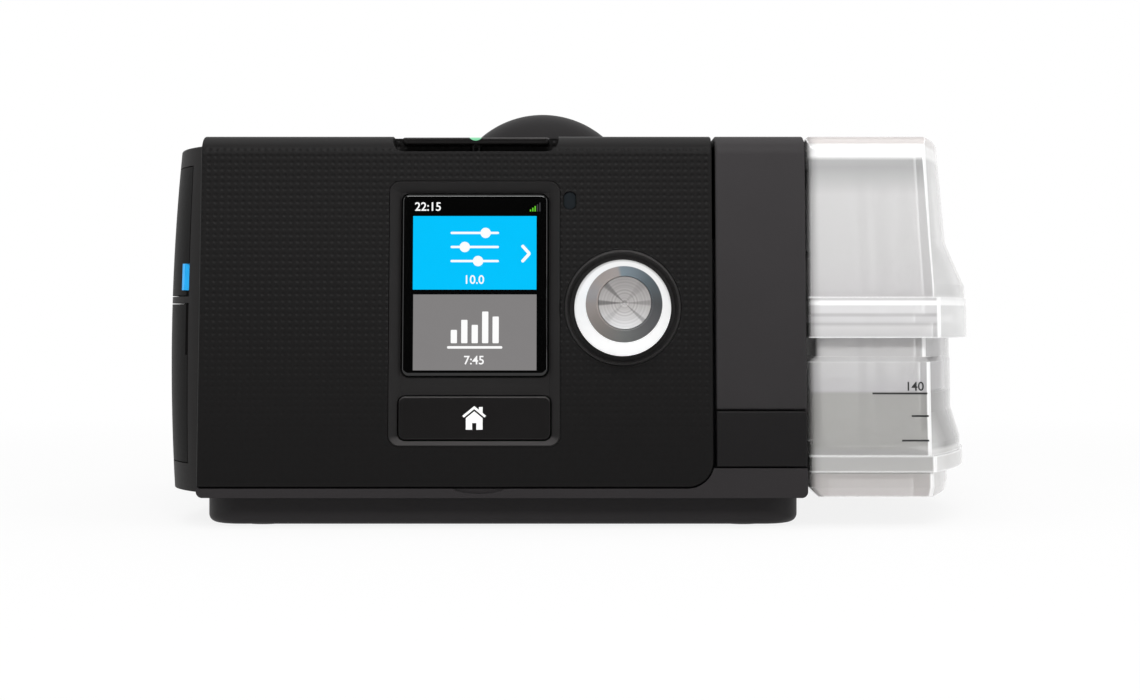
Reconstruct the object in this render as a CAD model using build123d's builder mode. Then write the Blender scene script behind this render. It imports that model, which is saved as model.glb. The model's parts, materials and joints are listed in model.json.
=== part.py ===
from build123d import *
from math import acos, asin, cos, degrees, radians, sin, tan
import os

# Bedside positive-airway-pressure machine with a clear water tub that slides out to the right.
# Millimetres. X runs to the right, Y to the back, Z up.
# The origin is the middle of the machine's footprint, on the table.

# ---- Body ------------------------------------------------------------------------------------
BODY_LEFT = -90.8            # left edge of the fascia
BODY_RIGHT = 54.6            # right side, against the tub
FRONT_Y = -64.3              # foot of the leaning front face
BODY_DEPTH = 118.0
BODY_BACK = FRONT_Y + BODY_DEPTH
BODY_BOTTOM = 7.5
BODY_TOP = 94.4
LEAN = radians(4.24)         # the front face leans back by this much
WALL = 2.4
FLOOR = 1.7
FRONT_EDGE_RADIUS = 5.0
BACK_EDGE_RADIUS = 6.0
LOW_EDGE_RADIUS = 1.5
CASE_SPLIT = 64.0            # height of the joint between bottom and top case
SEAM = 0.3                   # gap between neighbouring covers
SLIP = 0.15                  # gap around a piece that drops into an opening
PIN_SLIP = 0.02              # gap around a hinge pin

# ---- Front covers ----------------------------------------------------------------------------
FASCIA_RIGHT = 32.2
FASCIA_BOTTOM = 10.0
FASCIA_CORNER = 6.2
FASCIA_WRAP = 24.0           # how far the fascia reaches back over the top
FASCIA_RETURN = 8.0          # how far it reaches back round the left side
COVER_GROOVE = 0.8
COVER_LEFT = FASCIA_RIGHT + COVER_GROOVE
PLATE_BOTTOM = 14.5
PLATE_TOP = 28.1
EDGE_BREAK = 0.5

# ---- Display ---------------------------------------------------------------------------------
DISPLAY_X = -24.8
SURROUND_WIDTH = 40.9
SURROUND_HEIGHT = 63.6
SURROUND_Z = 51.4
SURROUND_CORNER = 2.6
SURROUND_RECESS = 1.8
SURROUND_DEPTH = 4.4
SURROUND_LIP = 0.7
BEVEL_ANGLE = 52
WINDOW_WIDTH = 35.4
WINDOW_HEIGHT = 44.2
WINDOW_Z = 58.3
WINDOW_CORNER = 1.9
WINDOW_DEPTH = 0.7
WINDOW_EDGE = 0.9
WINDOW_THICK = 1.8
MODULE_THICK = 3.6
MODULE_MARGIN = 0.5
HOME_WIDTH = 36.4
HOME_HEIGHT = 10.5
HOME_Z = 26.4
HOME_CORNER = 1.7
HOME_DEPTH = 0.8
HOME_THICK = 2.6
BUTTON_GAP = 0.25
BUTTON_TRAVEL = 0.8
SENSOR_X = -2.0
SENSOR_Z = 78.5
SENSOR_WIDTH = 2.8
SENSOR_HEIGHT = 4.1

# ---- Dial ------------------------------------------------------------------------------------
DIAL_X = 10.7
DIAL_Z = 52.75
WELL_RADIUS = 13.9
WELL_DEPTH = 2.2
WELL_FLOOR = 1.2
KNOB_RADIUS = 11.6
KNOB_MID_RADIUS = 8.9
KNOB_FACE_RADIUS = 6.5
KNOB_MID_HEIGHT = 9.8
KNOB_HEIGHT = 13.6
KNOB_SINK = 0.9
KNOB_WALL = 1.6
INSERT_RADIUS = 6.1
INSERT_THICK = 1.4
INSERT_DISH = 0.5
SHAFT_RADIUS = 3.0
SHAFT_TIP = 7.0              # how far the shaft stands out of the face
SHAFT_RUN = 0.03
HUB_RADIUS = 4.6
BUSHING_RADIUS = 4.4
ENCODER_SIZE = 12.0
ENCODER_FRONT = 6.0
SHAFT_FOOT = 8.6
CAVITY_RADIUS = 4.2
CAVITY_FRONT = 8.0
CAVITY_BACK = 12.6
PLUNGER_RADIUS = 3.8
PLUNGER_THICK = 2.8

# ---- Start button ----------------------------------------------------------------------------
START_X = -24.8
RECESS_WIDTH = 40.2
RECESS_FLOOR = 90.4
RECESS_CORNER = 3.0
RECESS_FRONT = 4.0           # the recess is open to the front, measured from the foot of the face
RECESS_BACK = 15.2
START_WIDTH = 35.6
START_FRONT = 8.4
START_TOP = 94.0
START_THICK = 1.7
START_CORNER = 1.2
START_UNDER_EDGE = 0.7
START_BACK_GAP = 0.6
LIGHT_RADIUS = 1.9           # lens across the button's upper front edge
LIGHT_DEPTH = 0.8
LIGHT_LENGTH = 2.0
STEM_RADIUS = 1.4
START_SWITCH_TOP = 88.2
START_STEM_BACK = 11.6
SWITCH_SIZE = 6.0
SWITCH_HEIGHT = 3.0

# ---- Main board ------------------------------------------------------------------------------
BOARD_DEPTH = 14.2           # its front lies this far behind the face
BOARD_THICK = 1.6
BOARD_LEFT = -86.0
BOARD_RIGHT = 28.0
BOARD_LOW = 14.0
BOARD_HIGH = 85.0
CHIP_COUNT = 3
CHIP_SIZE = 14.0
CHIP_THICK = 1.7
CHIP_INSET = 16.0
CHIP_PITCH = 20.0
CAN_COUNT = 4
CAN_RADIUS = 3.0
CAN_HEIGHT = 6.0
CAN_INSET = 30.0
CAN_PITCH = 9.0

# ---- Left side pod ---------------------------------------------------------------------------
POD_BOTTOM = 8.6
POD_MIDDLE = 38.0
POD_TOP = 92.0
POD_REACH_BOTTOM = 9.9
POD_REACH_MIDDLE = 11.3
POD_REACH_TOP = 9.4
POD_SETBACK = 3.0
POD_NOSE = 22.0
POD_TAIL = 34.0
POD_LENGTH = 110.0
POD_SKIN = 2.2
DOOR_FRONT = 6.3
DOOR_BACK = 62.0
LOWER_DOOR_BOTTOM = 15.15
LEDGE_BOTTOM = 53.9
LEDGE_TOP = 55.5
UPPER_DOOR_TOP = 87.5
DOOR_GAP = 0.25
BARREL_RADIUS = 1.8
BARREL_INSET = 4.4           # pin axis, in from the widest point of the pod
PIN_RADIUS = 0.8
PIN_BITE = 2.0               # how deep a pin sits in the frame at each end
NOTCH_LOW = 41.3
NOTCH_HIGH = 63.5
NOTCH_WIDTH = 0.9
TAB_HEIGHT = 6.5
TAB_WIDTH = 0.95
TAB_STAND = 0.4

# ---- Memory card -----------------------------------------------------------------------------
CARD_WIDTH = 24.0
CARD_LENGTH = 32.0
CARD_THICK = 2.1
CARD_STAND_OUT = 2.4
CARD_Z = 34.0
CARD_GAP = 0.3
CARD_TRAVEL = 0.8
SOCKET_SKIN = 0.8
PORT_Z = 70.0
PORT_WIDTH = 16.0
PORT_HEIGHT = 22.0
PORT_THICK = 4.0
PORT_BACK = 34.0

# ---- Tub bay ---------------------------------------------------------------------------------
BAY_FRONT = 23.0             # behind the foot of the front face
BAY_BACK_GAP = 9.0           # from the bay's back to the back of the body
BAY_BACK = BODY_DEPTH - BAY_BACK_GAP
BAY_LEFT = -33.0
BAY_FLOOR = 10.6
BAY_ROOF = 68.4
BAY_SKIN = 1.6
BAY_PLATE = 2.4
TUB_SLIP = 1.0
PORT_BORE = 6.4
PORT_SKIN = 1.4
PORT_Z_TUB = 58.2
OUTLET_PORT_GAP = 15.0       # from the bay's back to the port
OUTLET_PORT_Y = BAY_BACK - OUTLET_PORT_GAP
SEAL_GAP = 0.3
HEATER_SIZE = 58.0
HEATER_X = 8.0
HEATER_STAND = 0.3           # the heater plate stands this far above the bay's floor

# ---- Tub -------------------------------------------------------------------------------------
TUB_LEFT = 55.2
TUB_CORNER = 85.2            # where the front face turns into the bulging right side
TUB_FRONT = 0.9              # behind the leaning line of the body's front
TUB_BACK = BAY_BACK          # in line with the back of its bay
TUB_SKIN = 2.0
TUB_CORNER_RADIUS = 1.5
TUB_TOP_RADIUS = 4.0
TUB_EDGE_RADIUS = 1.2
SKIRT_BOTTOM = 7.6
FLANGE_BOTTOM = 13.5
FLANGE_TOP = 17.3
LOW_WING_BOTTOM = 20.2
LOW_WING_TOP = 27.6
NECK_BOTTOM = 39.7
NECK_TOP = 48.0
RIM_BOTTOM = 45.5
RIM_TOP = 55.2
WING_BOTTOM = 58.5
WING_TOP = 69.5
LID_TOP = 94.4
SKIRT_BULGE = 11.8           # bulges are how far the right side stands out past the corner
FLANGE_BULGE = 16.0
LOW_WING_BULGE = 16.5
BASE_BULGE = 13.9
NECK_BULGE = 14.8
RIM_BULGE = 17.3
BLOCK_BULGE = 12.2
LID_TOP_BULGE = 11.0
LID_DRAFT = 1.7               # how far the lid's corner leans in at its top
RIM_STAND = 1.2              # how far the rim stands out in front of the block
BASE_IN = 1.0                # the tub's lower walls stand this far behind the block
NECK_IN = 1.9
SKIRT_IN = 0.5
SKIRT_CHAMFER = 2.2            # at the left end of the skirt's bottom
SKIRT_DRAFT = 0.4
NECK_BEVEL = 1.2
RIM_SKIN = 1.5
GASKET_THICK = 1.2
LID_LEDGE = 1.8
INNER_LID_TOP = 67.3
TUB_FLOOR = 14.4
PLATE_THICK = 1.2
PLATE_SIZE = 64.0
PLATE_WINDOW = 56.0

# ---- Blower ----------------------------------------------------------------------------------
BLOWER_X = -61.6
BLOWER_Y = 60.0
VOLUTE_RADIUS = 24.0
VOLUTE_SKIN = 1.6
VOLUTE_HALF = 7.0
EYE_RADIUS = 9.0
EYE_COLLAR = 3.0
WHEEL_RADIUS = 20.5
WHEEL_GAP = 0.8
WHEEL_PLATE = 1.2
WHEEL_HUB = 4.5
BLADE_COUNT = 12
BLADE_THICK = 1.0
BLADE_LENGTH = 11.0
BLADE_HEIGHT = 8.5
BLADE_SWEEP = 35
AXLE_RADIUS = 2.0
AXLE_RUN = 0.03
CAN_RADIUS = 15.0
CAN_BOTTOM = 21.0
CAN_SKIN = 1.2
STATOR_INNER = 8.0
STATOR_LOW = 27.0
STATOR_HIGH = 42.0
WINDING_COUNT = 6
WINDING_RADIUS = 1.7
MAGNET_RADIUS = 7.4
BEARING_RADIUS = 4.5
BEARING_HEIGHT = 3.0
MOUNT_RADIUS = 18.0
MOUNT_HEIGHT = 18.0
MOUNT_LEDGE = 12.0

# ---- Back ------------------------------------------------------------------------------------
OUTLET_X = -10.2
OUTLET_Z = 79.8
OUTLET_RADIUS = 11.0         # 22 mm taper-standard hose outlet, straight part
OUTLET_BORE = 8.6
OUTLET_LENGTH = 17.3
OUTLET_CHAMFER = 0.6
OUTLET_COLLAR = 12.0
COLLAR_DEPTH = 4.0           # how far the collar reaches in past the case's wall
DUCT_BEND = 10.0
DUCT_RISER_X = -47.0
DUCT_END_GAP = 12.0          # from the duct's end to the back of the body
DUCT_END = BODY_DEPTH - DUCT_END_GAP
DOME_RADIUS = 28.5
DOME_Z = 83.1
DOME_STRAIGHT = 10.0         # full radius over this length at the back
DOME_NOSE = 26.0             # rounded front, ahead of the straight length
DOME_SKIN = 2.2
DOME_PLATE = 4.0
DOME_EDGE = 1.6
FILTER_X = -70.5
FILTER_Z = 38.0
FILTER_WIDTH = 27.0
FILTER_HEIGHT = 38.0
FILTER_THICK = 6.0
FILTER_LEDGE = 2.0
TRAY_SKIN = 1.2
COVER_MARGIN = 3.0
COVER_THICK = 2.0
COVER_STAND = 0.5
SLOT_COUNT = 9
SLOT_PITCH = 4.0
SLOT_HEIGHT = 1.8
SLOT_WIDTH = 22.0
LUG_RADIUS = 1.8
LUG_LENGTH = 2.4
POWER_X = -43.0
POWER_Z = 24.0
POWER_MOUTH = 5.5
POWER_MOUTH_DEPTH = 3.0
POWER_BORE = 4.6
POWER_BODY = 7.0
POWER_LENGTH = 14.0
POWER_STAND = 0.6
POWER_FLOOR = 3.0
CONTACT_RADIUS = 0.6
CONTACT_PITCH = 2.4
CONTACT_LENGTH = 5.0
CLIP_Z = 37.0
CLIP_GAP = 13.4
CLIP_LEG = 2.2
CLIP_THICK = 2.0
CLIP_REACH = 19.0
CLIP_BAR_DROP = 3.0
CLIP_BAR = 2.5
CLIP_BARREL = 1.8

# ---- Plinth ----------------------------------------------------------------------------------
PLINTH_LEFT = -90.3
PLINTH_RIGHT = 53.6
PLINTH_FRONT = 5.0
PLINTH_BACK_GAP = 8.0
PLINTH_BACK = BODY_DEPTH - PLINTH_BACK_GAP
PLINTH_BOTTOM = 0.6
PLINTH_CORNER = 9.0
PLINTH_EDGE = 1.9
PLINTH_SKIN = 2.0
FOOT_RADIUS = 6.0
FOOT_SINK = 0.8
FOOT_INSET_X = 13.4
FOOT_INSET_Y = 12.0
SCREW_INSET_X = 30.0
SCREW_INSET_Y = 10.0
SCREW_RADIUS = 1.5
SCREW_HEAD_RADIUS = 2.8
SCREW_HEAD = 1.8
SCREW_SLIP = 0.1
BOSS_RADIUS = 4.4
NOTCH_X = -23.6              # thumb notch under the fascia
THUMB_WIDTH = 12.6
THUMB_DEPTH = 1.0

FACE = Plane(origin=(0, FRONT_Y, BODY_BOTTOM), x_dir=(1, 0, 0), z_dir=(0, -cos(LEAN), sin(LEAN)))
OUTWARD = Axis((0, FRONT_Y, BODY_BOTTOM), (0, -cos(LEAN), sin(LEAN)))
FAR = 400.0

os.makedirs("parts", exist_ok=True)


# ---- Shared geometry -------------------------------------------------------------------------
def on_face(depth=0.0):
    """Plane parallel to the leaning front face, this far behind it."""
    return FACE.offset(-depth)


def up_face(z):
    """Distance up the leaning face to a height."""
    return (z - BODY_BOTTOM) / cos(LEAN)


def lean_at(z):
    """How far back the front face has leaned at a height."""
    return (z - BODY_BOTTOM) * tan(LEAN)


def side_outline(x, inset=0.0, floor=BODY_BOTTOM):
    """Side outline of the body: leaning front, round top edges."""
    top = BODY_TOP - inset
    back = BODY_BACK - inset
    front = FRONT_Y + inset / cos(LEAN)
    with BuildSketch(Plane.YZ.offset(x)) as outline:
        with BuildLine():
            Polyline(
                (front + lean_at(floor), floor),
                (front + lean_at(top), top),
                (back, top),
                (back, floor),
                close=True,
            )
        make_face()
        fillet(outline.vertices().group_by(Axis.Y)[-1].sort_by(Axis.X)[0], FRONT_EDGE_RADIUS - inset)
        fillet(outline.vertices().group_by(Axis.Y)[-1].sort_by(Axis.X)[-1], BACK_EDGE_RADIUS - inset)
    return outline.sketch


def body_block(left, right, inset=0.0, floor=BODY_BOTTOM, mode=Mode.ADD):
    """Length of the body's outline, from one X to another."""
    extrude(side_outline(left, inset, floor), amount=right - left, mode=mode)


def block(x, y, z, mode=Mode.ADD):
    """Plain block between two limits on each axis."""
    with Locations((sum(x) / 2, sum(y) / 2, sum(z) / 2)):
        Box(x[1] - x[0], y[1] - y[0], z[1] - z[0], mode=mode)


def face_panel(x, z, size, corner, depth, thick, mode=Mode.ADD, taper=0.0):
    """Rounded rectangle on the front face, sunk by a depth and going inward."""
    with BuildSketch(on_face(depth)) as panel:
        with Locations((x, up_face(z))):
            RectangleRounded(size[0], size[1], corner)
    extrude(panel.sketch, amount=-thick, mode=mode, taper=taper)


def face_round(x, z, radius, depth, thick, mode=Mode.ADD):
    """Disc on the front face, sunk by a depth and going inward."""
    with BuildSketch(on_face(depth)) as disc:
        with Locations((x, up_face(z))):
            Circle(radius)
    extrude(disc.sketch, amount=-thick, mode=mode)


def fascia_outline(grow=0.0, mode=Mode.INTERSECT):
    """Front outline of the fascia, its lower right corner rounded, cut through the body."""
    low = up_face(FASCIA_BOTTOM) - grow
    high = up_face(BODY_TOP) + FRONT_EDGE_RADIUS * 4
    left = BODY_LEFT - WALL
    right = FASCIA_RIGHT + grow
    with BuildSketch(FACE) as outline:
        with Locations(((left + right) / 2, (low + high) / 2)):
            Rectangle(right - left, high - low)
        fillet(outline.vertices().group_by(Axis.Y)[0].sort_by(Axis.X)[-1], FASCIA_CORNER + grow)
    extrude(outline.sketch, amount=BODY_DEPTH / 2, both=True, mode=mode)


def front_shell(left, right, closed_left):
    """Front wall and forward top wall of the body between two X limits."""
    body_block(left, right)
    inner_left = left + WALL if closed_left else left - WALL
    body_block(inner_left, right + WALL, WALL, BODY_BOTTOM - WALL, Mode.SUBTRACT)
    block((left - WALL, right + WALL), (FRONT_Y + FASCIA_WRAP, BODY_BACK + WALL), (0, FAR), Mode.SUBTRACT)
    block(
        (left - WALL, right + WALL),
        (FRONT_Y + FASCIA_RETURN + lean_at(BODY_TOP), FRONT_Y + FASCIA_WRAP + WALL),
        (0, BODY_TOP - WALL),
        Mode.SUBTRACT,
    )


def pin(x, y, z, radius, length, axis, mode=Mode.ADD):
    """Round pin starting at a point and running along a plane's normal."""
    with BuildSketch(Plane(origin=(x, y, z), z_dir=axis)) as end:
        Circle(radius)
    extrude(end.sketch, amount=length, mode=mode)


# ---- Front covers ----------------------------------------------------------------------------
with BuildPart() as front_fascia:
    front_shell(BODY_LEFT, FASCIA_RIGHT, True)
    fascia_outline()
    # Pocket that holds the start button below the top surface.
    block(
        (START_X - RECESS_WIDTH / 2 - FLOOR, START_X + RECESS_WIDTH / 2 + FLOOR),
        (FRONT_Y + lean_at(BODY_TOP) + WALL, FRONT_Y + RECESS_BACK + FLOOR),
        (RECESS_FLOOR - FLOOR, BODY_TOP - WALL),
    )
    with BuildSketch(Plane.XZ.offset(-FRONT_Y - RECESS_BACK)) as scoop:
        with Locations((START_X, RECESS_FLOOR + FRONT_EDGE_RADIUS)):
            Rectangle(RECESS_WIDTH, FRONT_EDGE_RADIUS * 2)
        fillet(scoop.vertices().group_by(Axis.Y)[0], RECESS_CORNER)
    extrude(amount=RECESS_BACK - RECESS_FRONT, mode=Mode.SUBTRACT)
    pin(START_X, FRONT_Y + START_STEM_BACK, RECESS_FLOOR - WALL, STEM_RADIUS + BUTTON_GAP, WALL * 2,
        (0, 0, 1), Mode.SUBTRACT)
    face_panel(
        DISPLAY_X,
        SURROUND_Z,
        (SURROUND_WIDTH + 2 * SLIP, SURROUND_HEIGHT + 2 * SLIP),
        SURROUND_CORNER + SLIP,
        -WALL,
        WALL * 3,
        Mode.SUBTRACT,
    )
    face_panel(
        SENSOR_X,
        SENSOR_Z,
        (SENSOR_WIDTH + 2 * SLIP, SENSOR_HEIGHT + 2 * SLIP),
        SENSOR_WIDTH / 2,
        -WALL,
        WALL * 3,
        Mode.SUBTRACT,
    )
    face_round(DIAL_X, DIAL_Z, WELL_RADIUS + SLIP, -WALL, WALL * 3, Mode.SUBTRACT)
    front_face = front_fascia.faces().sort_by(OUTWARD)[-1]
    fillet(front_face.outer_wire().edges().sort_by(Axis.Z)[:-1], EDGE_BREAK)
    # The left return ends level, above the lip of the bottom case.
    block((-FAR, FAR), (FRONT_Y + WALL, FAR), (-FAR, FASCIA_BOTTOM), Mode.SUBTRACT)
front_fascia.part.label = "front_fascia"
export_step(front_fascia.part, "parts/front_fascia.step")

with BuildPart() as right_cover:
    front_shell(COVER_LEFT, BODY_RIGHT, False)
    block((0, FAR), (-FAR, FAR), (-FAR, PLATE_TOP + SEAM), Mode.SUBTRACT)
    front_face = right_cover.faces().sort_by(OUTWARD)[-1]
    fillet(front_face.outer_wire().edges().sort_by(Axis.Z)[:-1], EDGE_BREAK)
right_cover.part.label = "right_cover"
export_step(right_cover.part, "parts/right_cover.step")

with BuildPart() as name_plate:
    front_shell(COVER_LEFT, BODY_RIGHT, False)
    block((0, FAR), (-FAR, FAR), (PLATE_TOP, FAR), Mode.SUBTRACT)
    block((0, FAR), (-FAR, FAR), (-FAR, PLATE_BOTTOM + SEAM), Mode.SUBTRACT)
    front_face = name_plate.faces().sort_by(OUTWARD)[-1]
    fillet(front_face.outer_wire().edges(), EDGE_BREAK)
name_plate.part.label = "name_plate"
export_step(name_plate.part, "parts/name_plate.step")

# ---- Display ---------------------------------------------------------------------------------
with BuildPart() as display_surround:
    face_panel(DISPLAY_X, SURROUND_Z, (SURROUND_WIDTH, SURROUND_HEIGHT), SURROUND_CORNER, 0, SURROUND_DEPTH)
    face_panel(
        DISPLAY_X,
        SURROUND_Z,
        (SURROUND_WIDTH + 2 * SURROUND_LIP, SURROUND_HEIGHT + 2 * SURROUND_LIP),
        SURROUND_CORNER + SURROUND_LIP,
        WALL + SLIP,
        SURROUND_DEPTH - WALL - SLIP,
    )
    face_panel(
        DISPLAY_X,
        SURROUND_Z,
        (SURROUND_WIDTH - EDGE_BREAK, SURROUND_HEIGHT - EDGE_BREAK),
        SURROUND_CORNER - EDGE_BREAK / 2,
        0,
        SURROUND_RECESS,
        Mode.SUBTRACT,
        BEVEL_ANGLE,
    )
    face_panel(
        DISPLAY_X,
        WINDOW_Z,
        (WINDOW_WIDTH + 2 * SLIP, WINDOW_HEIGHT + 2 * SLIP),
        WINDOW_CORNER + SLIP,
        0,
        SURROUND_DEPTH + WALL,
        Mode.SUBTRACT,
    )
    face_panel(
        DISPLAY_X,
        HOME_Z,
        (HOME_WIDTH + 2 * BUTTON_GAP, HOME_HEIGHT + 2 * BUTTON_GAP),
        HOME_CORNER + BUTTON_GAP,
        0,
        SURROUND_DEPTH + WALL,
        Mode.SUBTRACT,
    )
display_surround.part.label = "display_surround"
export_step(display_surround.part, "parts/display_surround.step")

with BuildPart() as display_window:
    face_panel(DISPLAY_X, WINDOW_Z, (WINDOW_WIDTH, WINDOW_HEIGHT), WINDOW_CORNER, WINDOW_DEPTH, WINDOW_THICK)
    fillet(display_window.faces().sort_by(OUTWARD)[-1].edges(), WINDOW_EDGE)
display_window.part.label = "display_window"
export_step(display_window.part, "parts/display_window.step")

with BuildPart() as display_module:
    face_panel(
        DISPLAY_X,
        WINDOW_Z,
        (WINDOW_WIDTH - 2 * MODULE_MARGIN, WINDOW_HEIGHT - 2 * MODULE_MARGIN),
        MODULE_MARGIN,
        WINDOW_DEPTH + WINDOW_THICK,
        MODULE_THICK,
    )
display_module.part.label = "display_module"
export_step(display_module.part, "parts/display_module.step")

HOME_BACK = HOME_DEPTH + HOME_THICK
HOME_SWITCH_FRONT = BOARD_DEPTH - SWITCH_HEIGHT
HOME_STEM_END = HOME_SWITCH_FRONT - BUTTON_TRAVEL - SLIP
with BuildPart() as home_button:
    face_panel(DISPLAY_X, HOME_Z, (HOME_WIDTH, HOME_HEIGHT), HOME_CORNER, HOME_DEPTH, HOME_THICK)
    fillet(home_button.faces().sort_by(OUTWARD)[-1].edges(), EDGE_BREAK)
    face_round(DISPLAY_X, HOME_Z, STEM_RADIUS, HOME_BACK, HOME_STEM_END - HOME_BACK)
home_button.part.label = "home_button"
export_step(home_button.part, "parts/home_button.step")

with BuildPart() as home_switch:
    face_panel(DISPLAY_X, HOME_Z, (SWITCH_SIZE, SWITCH_SIZE), EDGE_BREAK, HOME_SWITCH_FRONT, SWITCH_HEIGHT)
home_switch.part.label = "home_switch"
export_step(home_switch.part, "parts/home_switch.step")

with BuildPart() as light_sensor_window:
    face_panel(SENSOR_X, SENSOR_Z, (SENSOR_WIDTH, SENSOR_HEIGHT), SENSOR_WIDTH / 2 - SLIP, EDGE_BREAK, WALL)
light_sensor_window.part.label = "light_sensor_window"
export_step(light_sensor_window.part, "parts/light_sensor_window.step")

# ---- Dial ------------------------------------------------------------------------------------
# Turned pieces are drawn in a half plane through the dial's axis: first coordinate out from the
# axis, second coordinate out of the front face.
DIAL_SPOT = on_face() * Location((DIAL_X, up_face(DIAL_Z), 0))
DIAL_HALF = Plane(DIAL_SPOT) * Location((0, 0, 0), (90, 0, 0))
DIAL_AXIS = Axis(DIAL_SPOT.position, FACE.z_dir)

with BuildPart() as dial_surround:
    with BuildSketch(Plane(DIAL_HALF)):
        with BuildLine():
            Polyline(
                (BUSHING_RADIUS + SEAM, -WELL_DEPTH),
                (KNOB_RADIUS + EDGE_BREAK * 2, -WELL_DEPTH),
                (WELL_RADIUS - EDGE_BREAK, 0),
                (WELL_RADIUS, 0),
                (WELL_RADIUS, -WELL_DEPTH - WELL_FLOOR),
                (BUSHING_RADIUS + SEAM, -WELL_DEPTH - WELL_FLOOR),
                close=True,
            )
        make_face()
    revolve(axis=DIAL_AXIS)
dial_surround.part.label = "dial_surround"
export_step(dial_surround.part, "parts/dial_surround.step")

with BuildPart() as dial_knob:
    with BuildSketch(Plane(DIAL_HALF)):
        with BuildLine():
            Polyline(
                (0, KNOB_HEIGHT - INSERT_THICK),
                (INSERT_RADIUS + SLIP, KNOB_HEIGHT - INSERT_THICK),
                (INSERT_RADIUS + SLIP, KNOB_HEIGHT),
                (KNOB_FACE_RADIUS, KNOB_HEIGHT),
                (KNOB_MID_RADIUS, KNOB_MID_HEIGHT),
            )
            Spline(
                (KNOB_MID_RADIUS, KNOB_MID_HEIGHT),
                (KNOB_RADIUS - EDGE_BREAK, KNOB_SINK),
                (KNOB_RADIUS, -KNOB_SINK),
            )
            Polyline(
                (KNOB_RADIUS, -KNOB_SINK),
                (KNOB_RADIUS - KNOB_WALL, -KNOB_SINK),
                (KNOB_MID_RADIUS - KNOB_WALL, KNOB_MID_HEIGHT - KNOB_WALL * 2),
                (HUB_RADIUS, KNOB_MID_HEIGHT - KNOB_WALL * 2),
                (HUB_RADIUS, 0),
                (SHAFT_RADIUS + PIN_SLIP, 0),
                (SHAFT_RADIUS + PIN_SLIP, SHAFT_TIP + PIN_SLIP),
                (0, SHAFT_TIP + PIN_SLIP),
                (0, KNOB_HEIGHT - INSERT_THICK),
            )
        make_face()
    revolve(axis=DIAL_AXIS)
dial_knob.part.label = "dial_knob"
export_step(dial_knob.part, "parts/dial_knob.step")

DISH_RADIUS = (INSERT_RADIUS**2 + INSERT_DISH**2) / (2 * INSERT_DISH)
with BuildPart() as dial_insert:
    with BuildSketch(Plane(DIAL_HALF)):
        with Locations((INSERT_RADIUS / 2, KNOB_HEIGHT - INSERT_THICK / 2)):
            Rectangle(INSERT_RADIUS, INSERT_THICK)
        with Locations((0, KNOB_HEIGHT - INSERT_DISH + DISH_RADIUS)):
            Circle(DISH_RADIUS, mode=Mode.SUBTRACT)
    revolve(axis=DIAL_AXIS)
dial_insert.part.label = "dial_insert"
export_step(dial_insert.part, "parts/dial_insert.step")

with BuildPart() as encoder_shaft:
    face_round(DIAL_X, DIAL_Z, SHAFT_RADIUS, -SHAFT_TIP, SHAFT_TIP + SHAFT_FOOT)
encoder_shaft.part.label = "encoder_shaft"
export_step(encoder_shaft.part, "parts/encoder_shaft.step")

with BuildPart() as dial_plunger:
    face_round(DIAL_X, DIAL_Z, PLUNGER_RADIUS, SHAFT_FOOT + PIN_SLIP, PLUNGER_THICK)
dial_plunger.part.label = "dial_plunger"
export_step(dial_plunger.part, "parts/dial_plunger.step")

with BuildPart() as encoder_body:
    face_panel(
        DIAL_X,
        DIAL_Z,
        (ENCODER_SIZE, ENCODER_SIZE),
        EDGE_BREAK,
        ENCODER_FRONT,
        BOARD_DEPTH - ENCODER_FRONT,
    )
    face_round(DIAL_X, DIAL_Z, BUSHING_RADIUS, WELL_DEPTH, ENCODER_FRONT - WELL_DEPTH)
    face_round(DIAL_X, DIAL_Z, SHAFT_RADIUS + SHAFT_RUN, 0, CAVITY_FRONT, Mode.SUBTRACT)
    face_round(DIAL_X, DIAL_Z, CAVITY_RADIUS, CAVITY_FRONT, CAVITY_BACK - CAVITY_FRONT, Mode.SUBTRACT)
encoder_body.part.label = "encoder_body"
export_step(encoder_body.part, "parts/encoder_body.step")

# ---- Start button ----------------------------------------------------------------------------
START_BOTTOM = START_TOP - START_THICK
START_BACK = RECESS_BACK - START_BACK_GAP
LIGHT_AXIS_Z = START_TOP - LIGHT_DEPTH + LIGHT_RADIUS


def start_bar():
    """Long flat bar with its edges rounded all round."""
    with BuildPart() as bar:
        block(
            (START_X - START_WIDTH / 2, START_X + START_WIDTH / 2),
            (FRONT_Y + START_FRONT, FRONT_Y + START_BACK),
            (START_BOTTOM, START_TOP),
        )
        fillet(bar.edges().filter_by(Axis.Z), START_CORNER)
        fillet(bar.faces().sort_by(Axis.Z)[0].edges(), START_UNDER_EDGE)
        fillet(bar.faces().sort_by(Axis.Z)[-1].edges(), EDGE_BREAK)
    return bar.part


with BuildPart() as start_button:
    add(start_bar())
    pin(START_X, FRONT_Y + START_STEM_BACK, START_SWITCH_TOP + BUTTON_TRAVEL + SLIP, STEM_RADIUS,
        START_BOTTOM + START_THICK / 2 - START_SWITCH_TOP - BUTTON_TRAVEL - SLIP, (0, 0, 1))
    pin(START_X, FRONT_Y + START_FRONT, LIGHT_AXIS_Z, LIGHT_RADIUS, LIGHT_LENGTH, (0, 1, 0), Mode.SUBTRACT)
start_button.part.label = "start_button"
export_step(start_button.part, "parts/start_button.step")

with BuildPart() as start_button_light:
    add(start_bar())
    pin(START_X, FRONT_Y + START_FRONT, LIGHT_AXIS_Z, LIGHT_RADIUS - PIN_SLIP, LIGHT_LENGTH - PIN_SLIP,
        (0, 1, 0), Mode.INTERSECT)
start_button_light.part.label = "start_button_light"
export_step(start_button_light.part, "parts/start_button_light.step")

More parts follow.
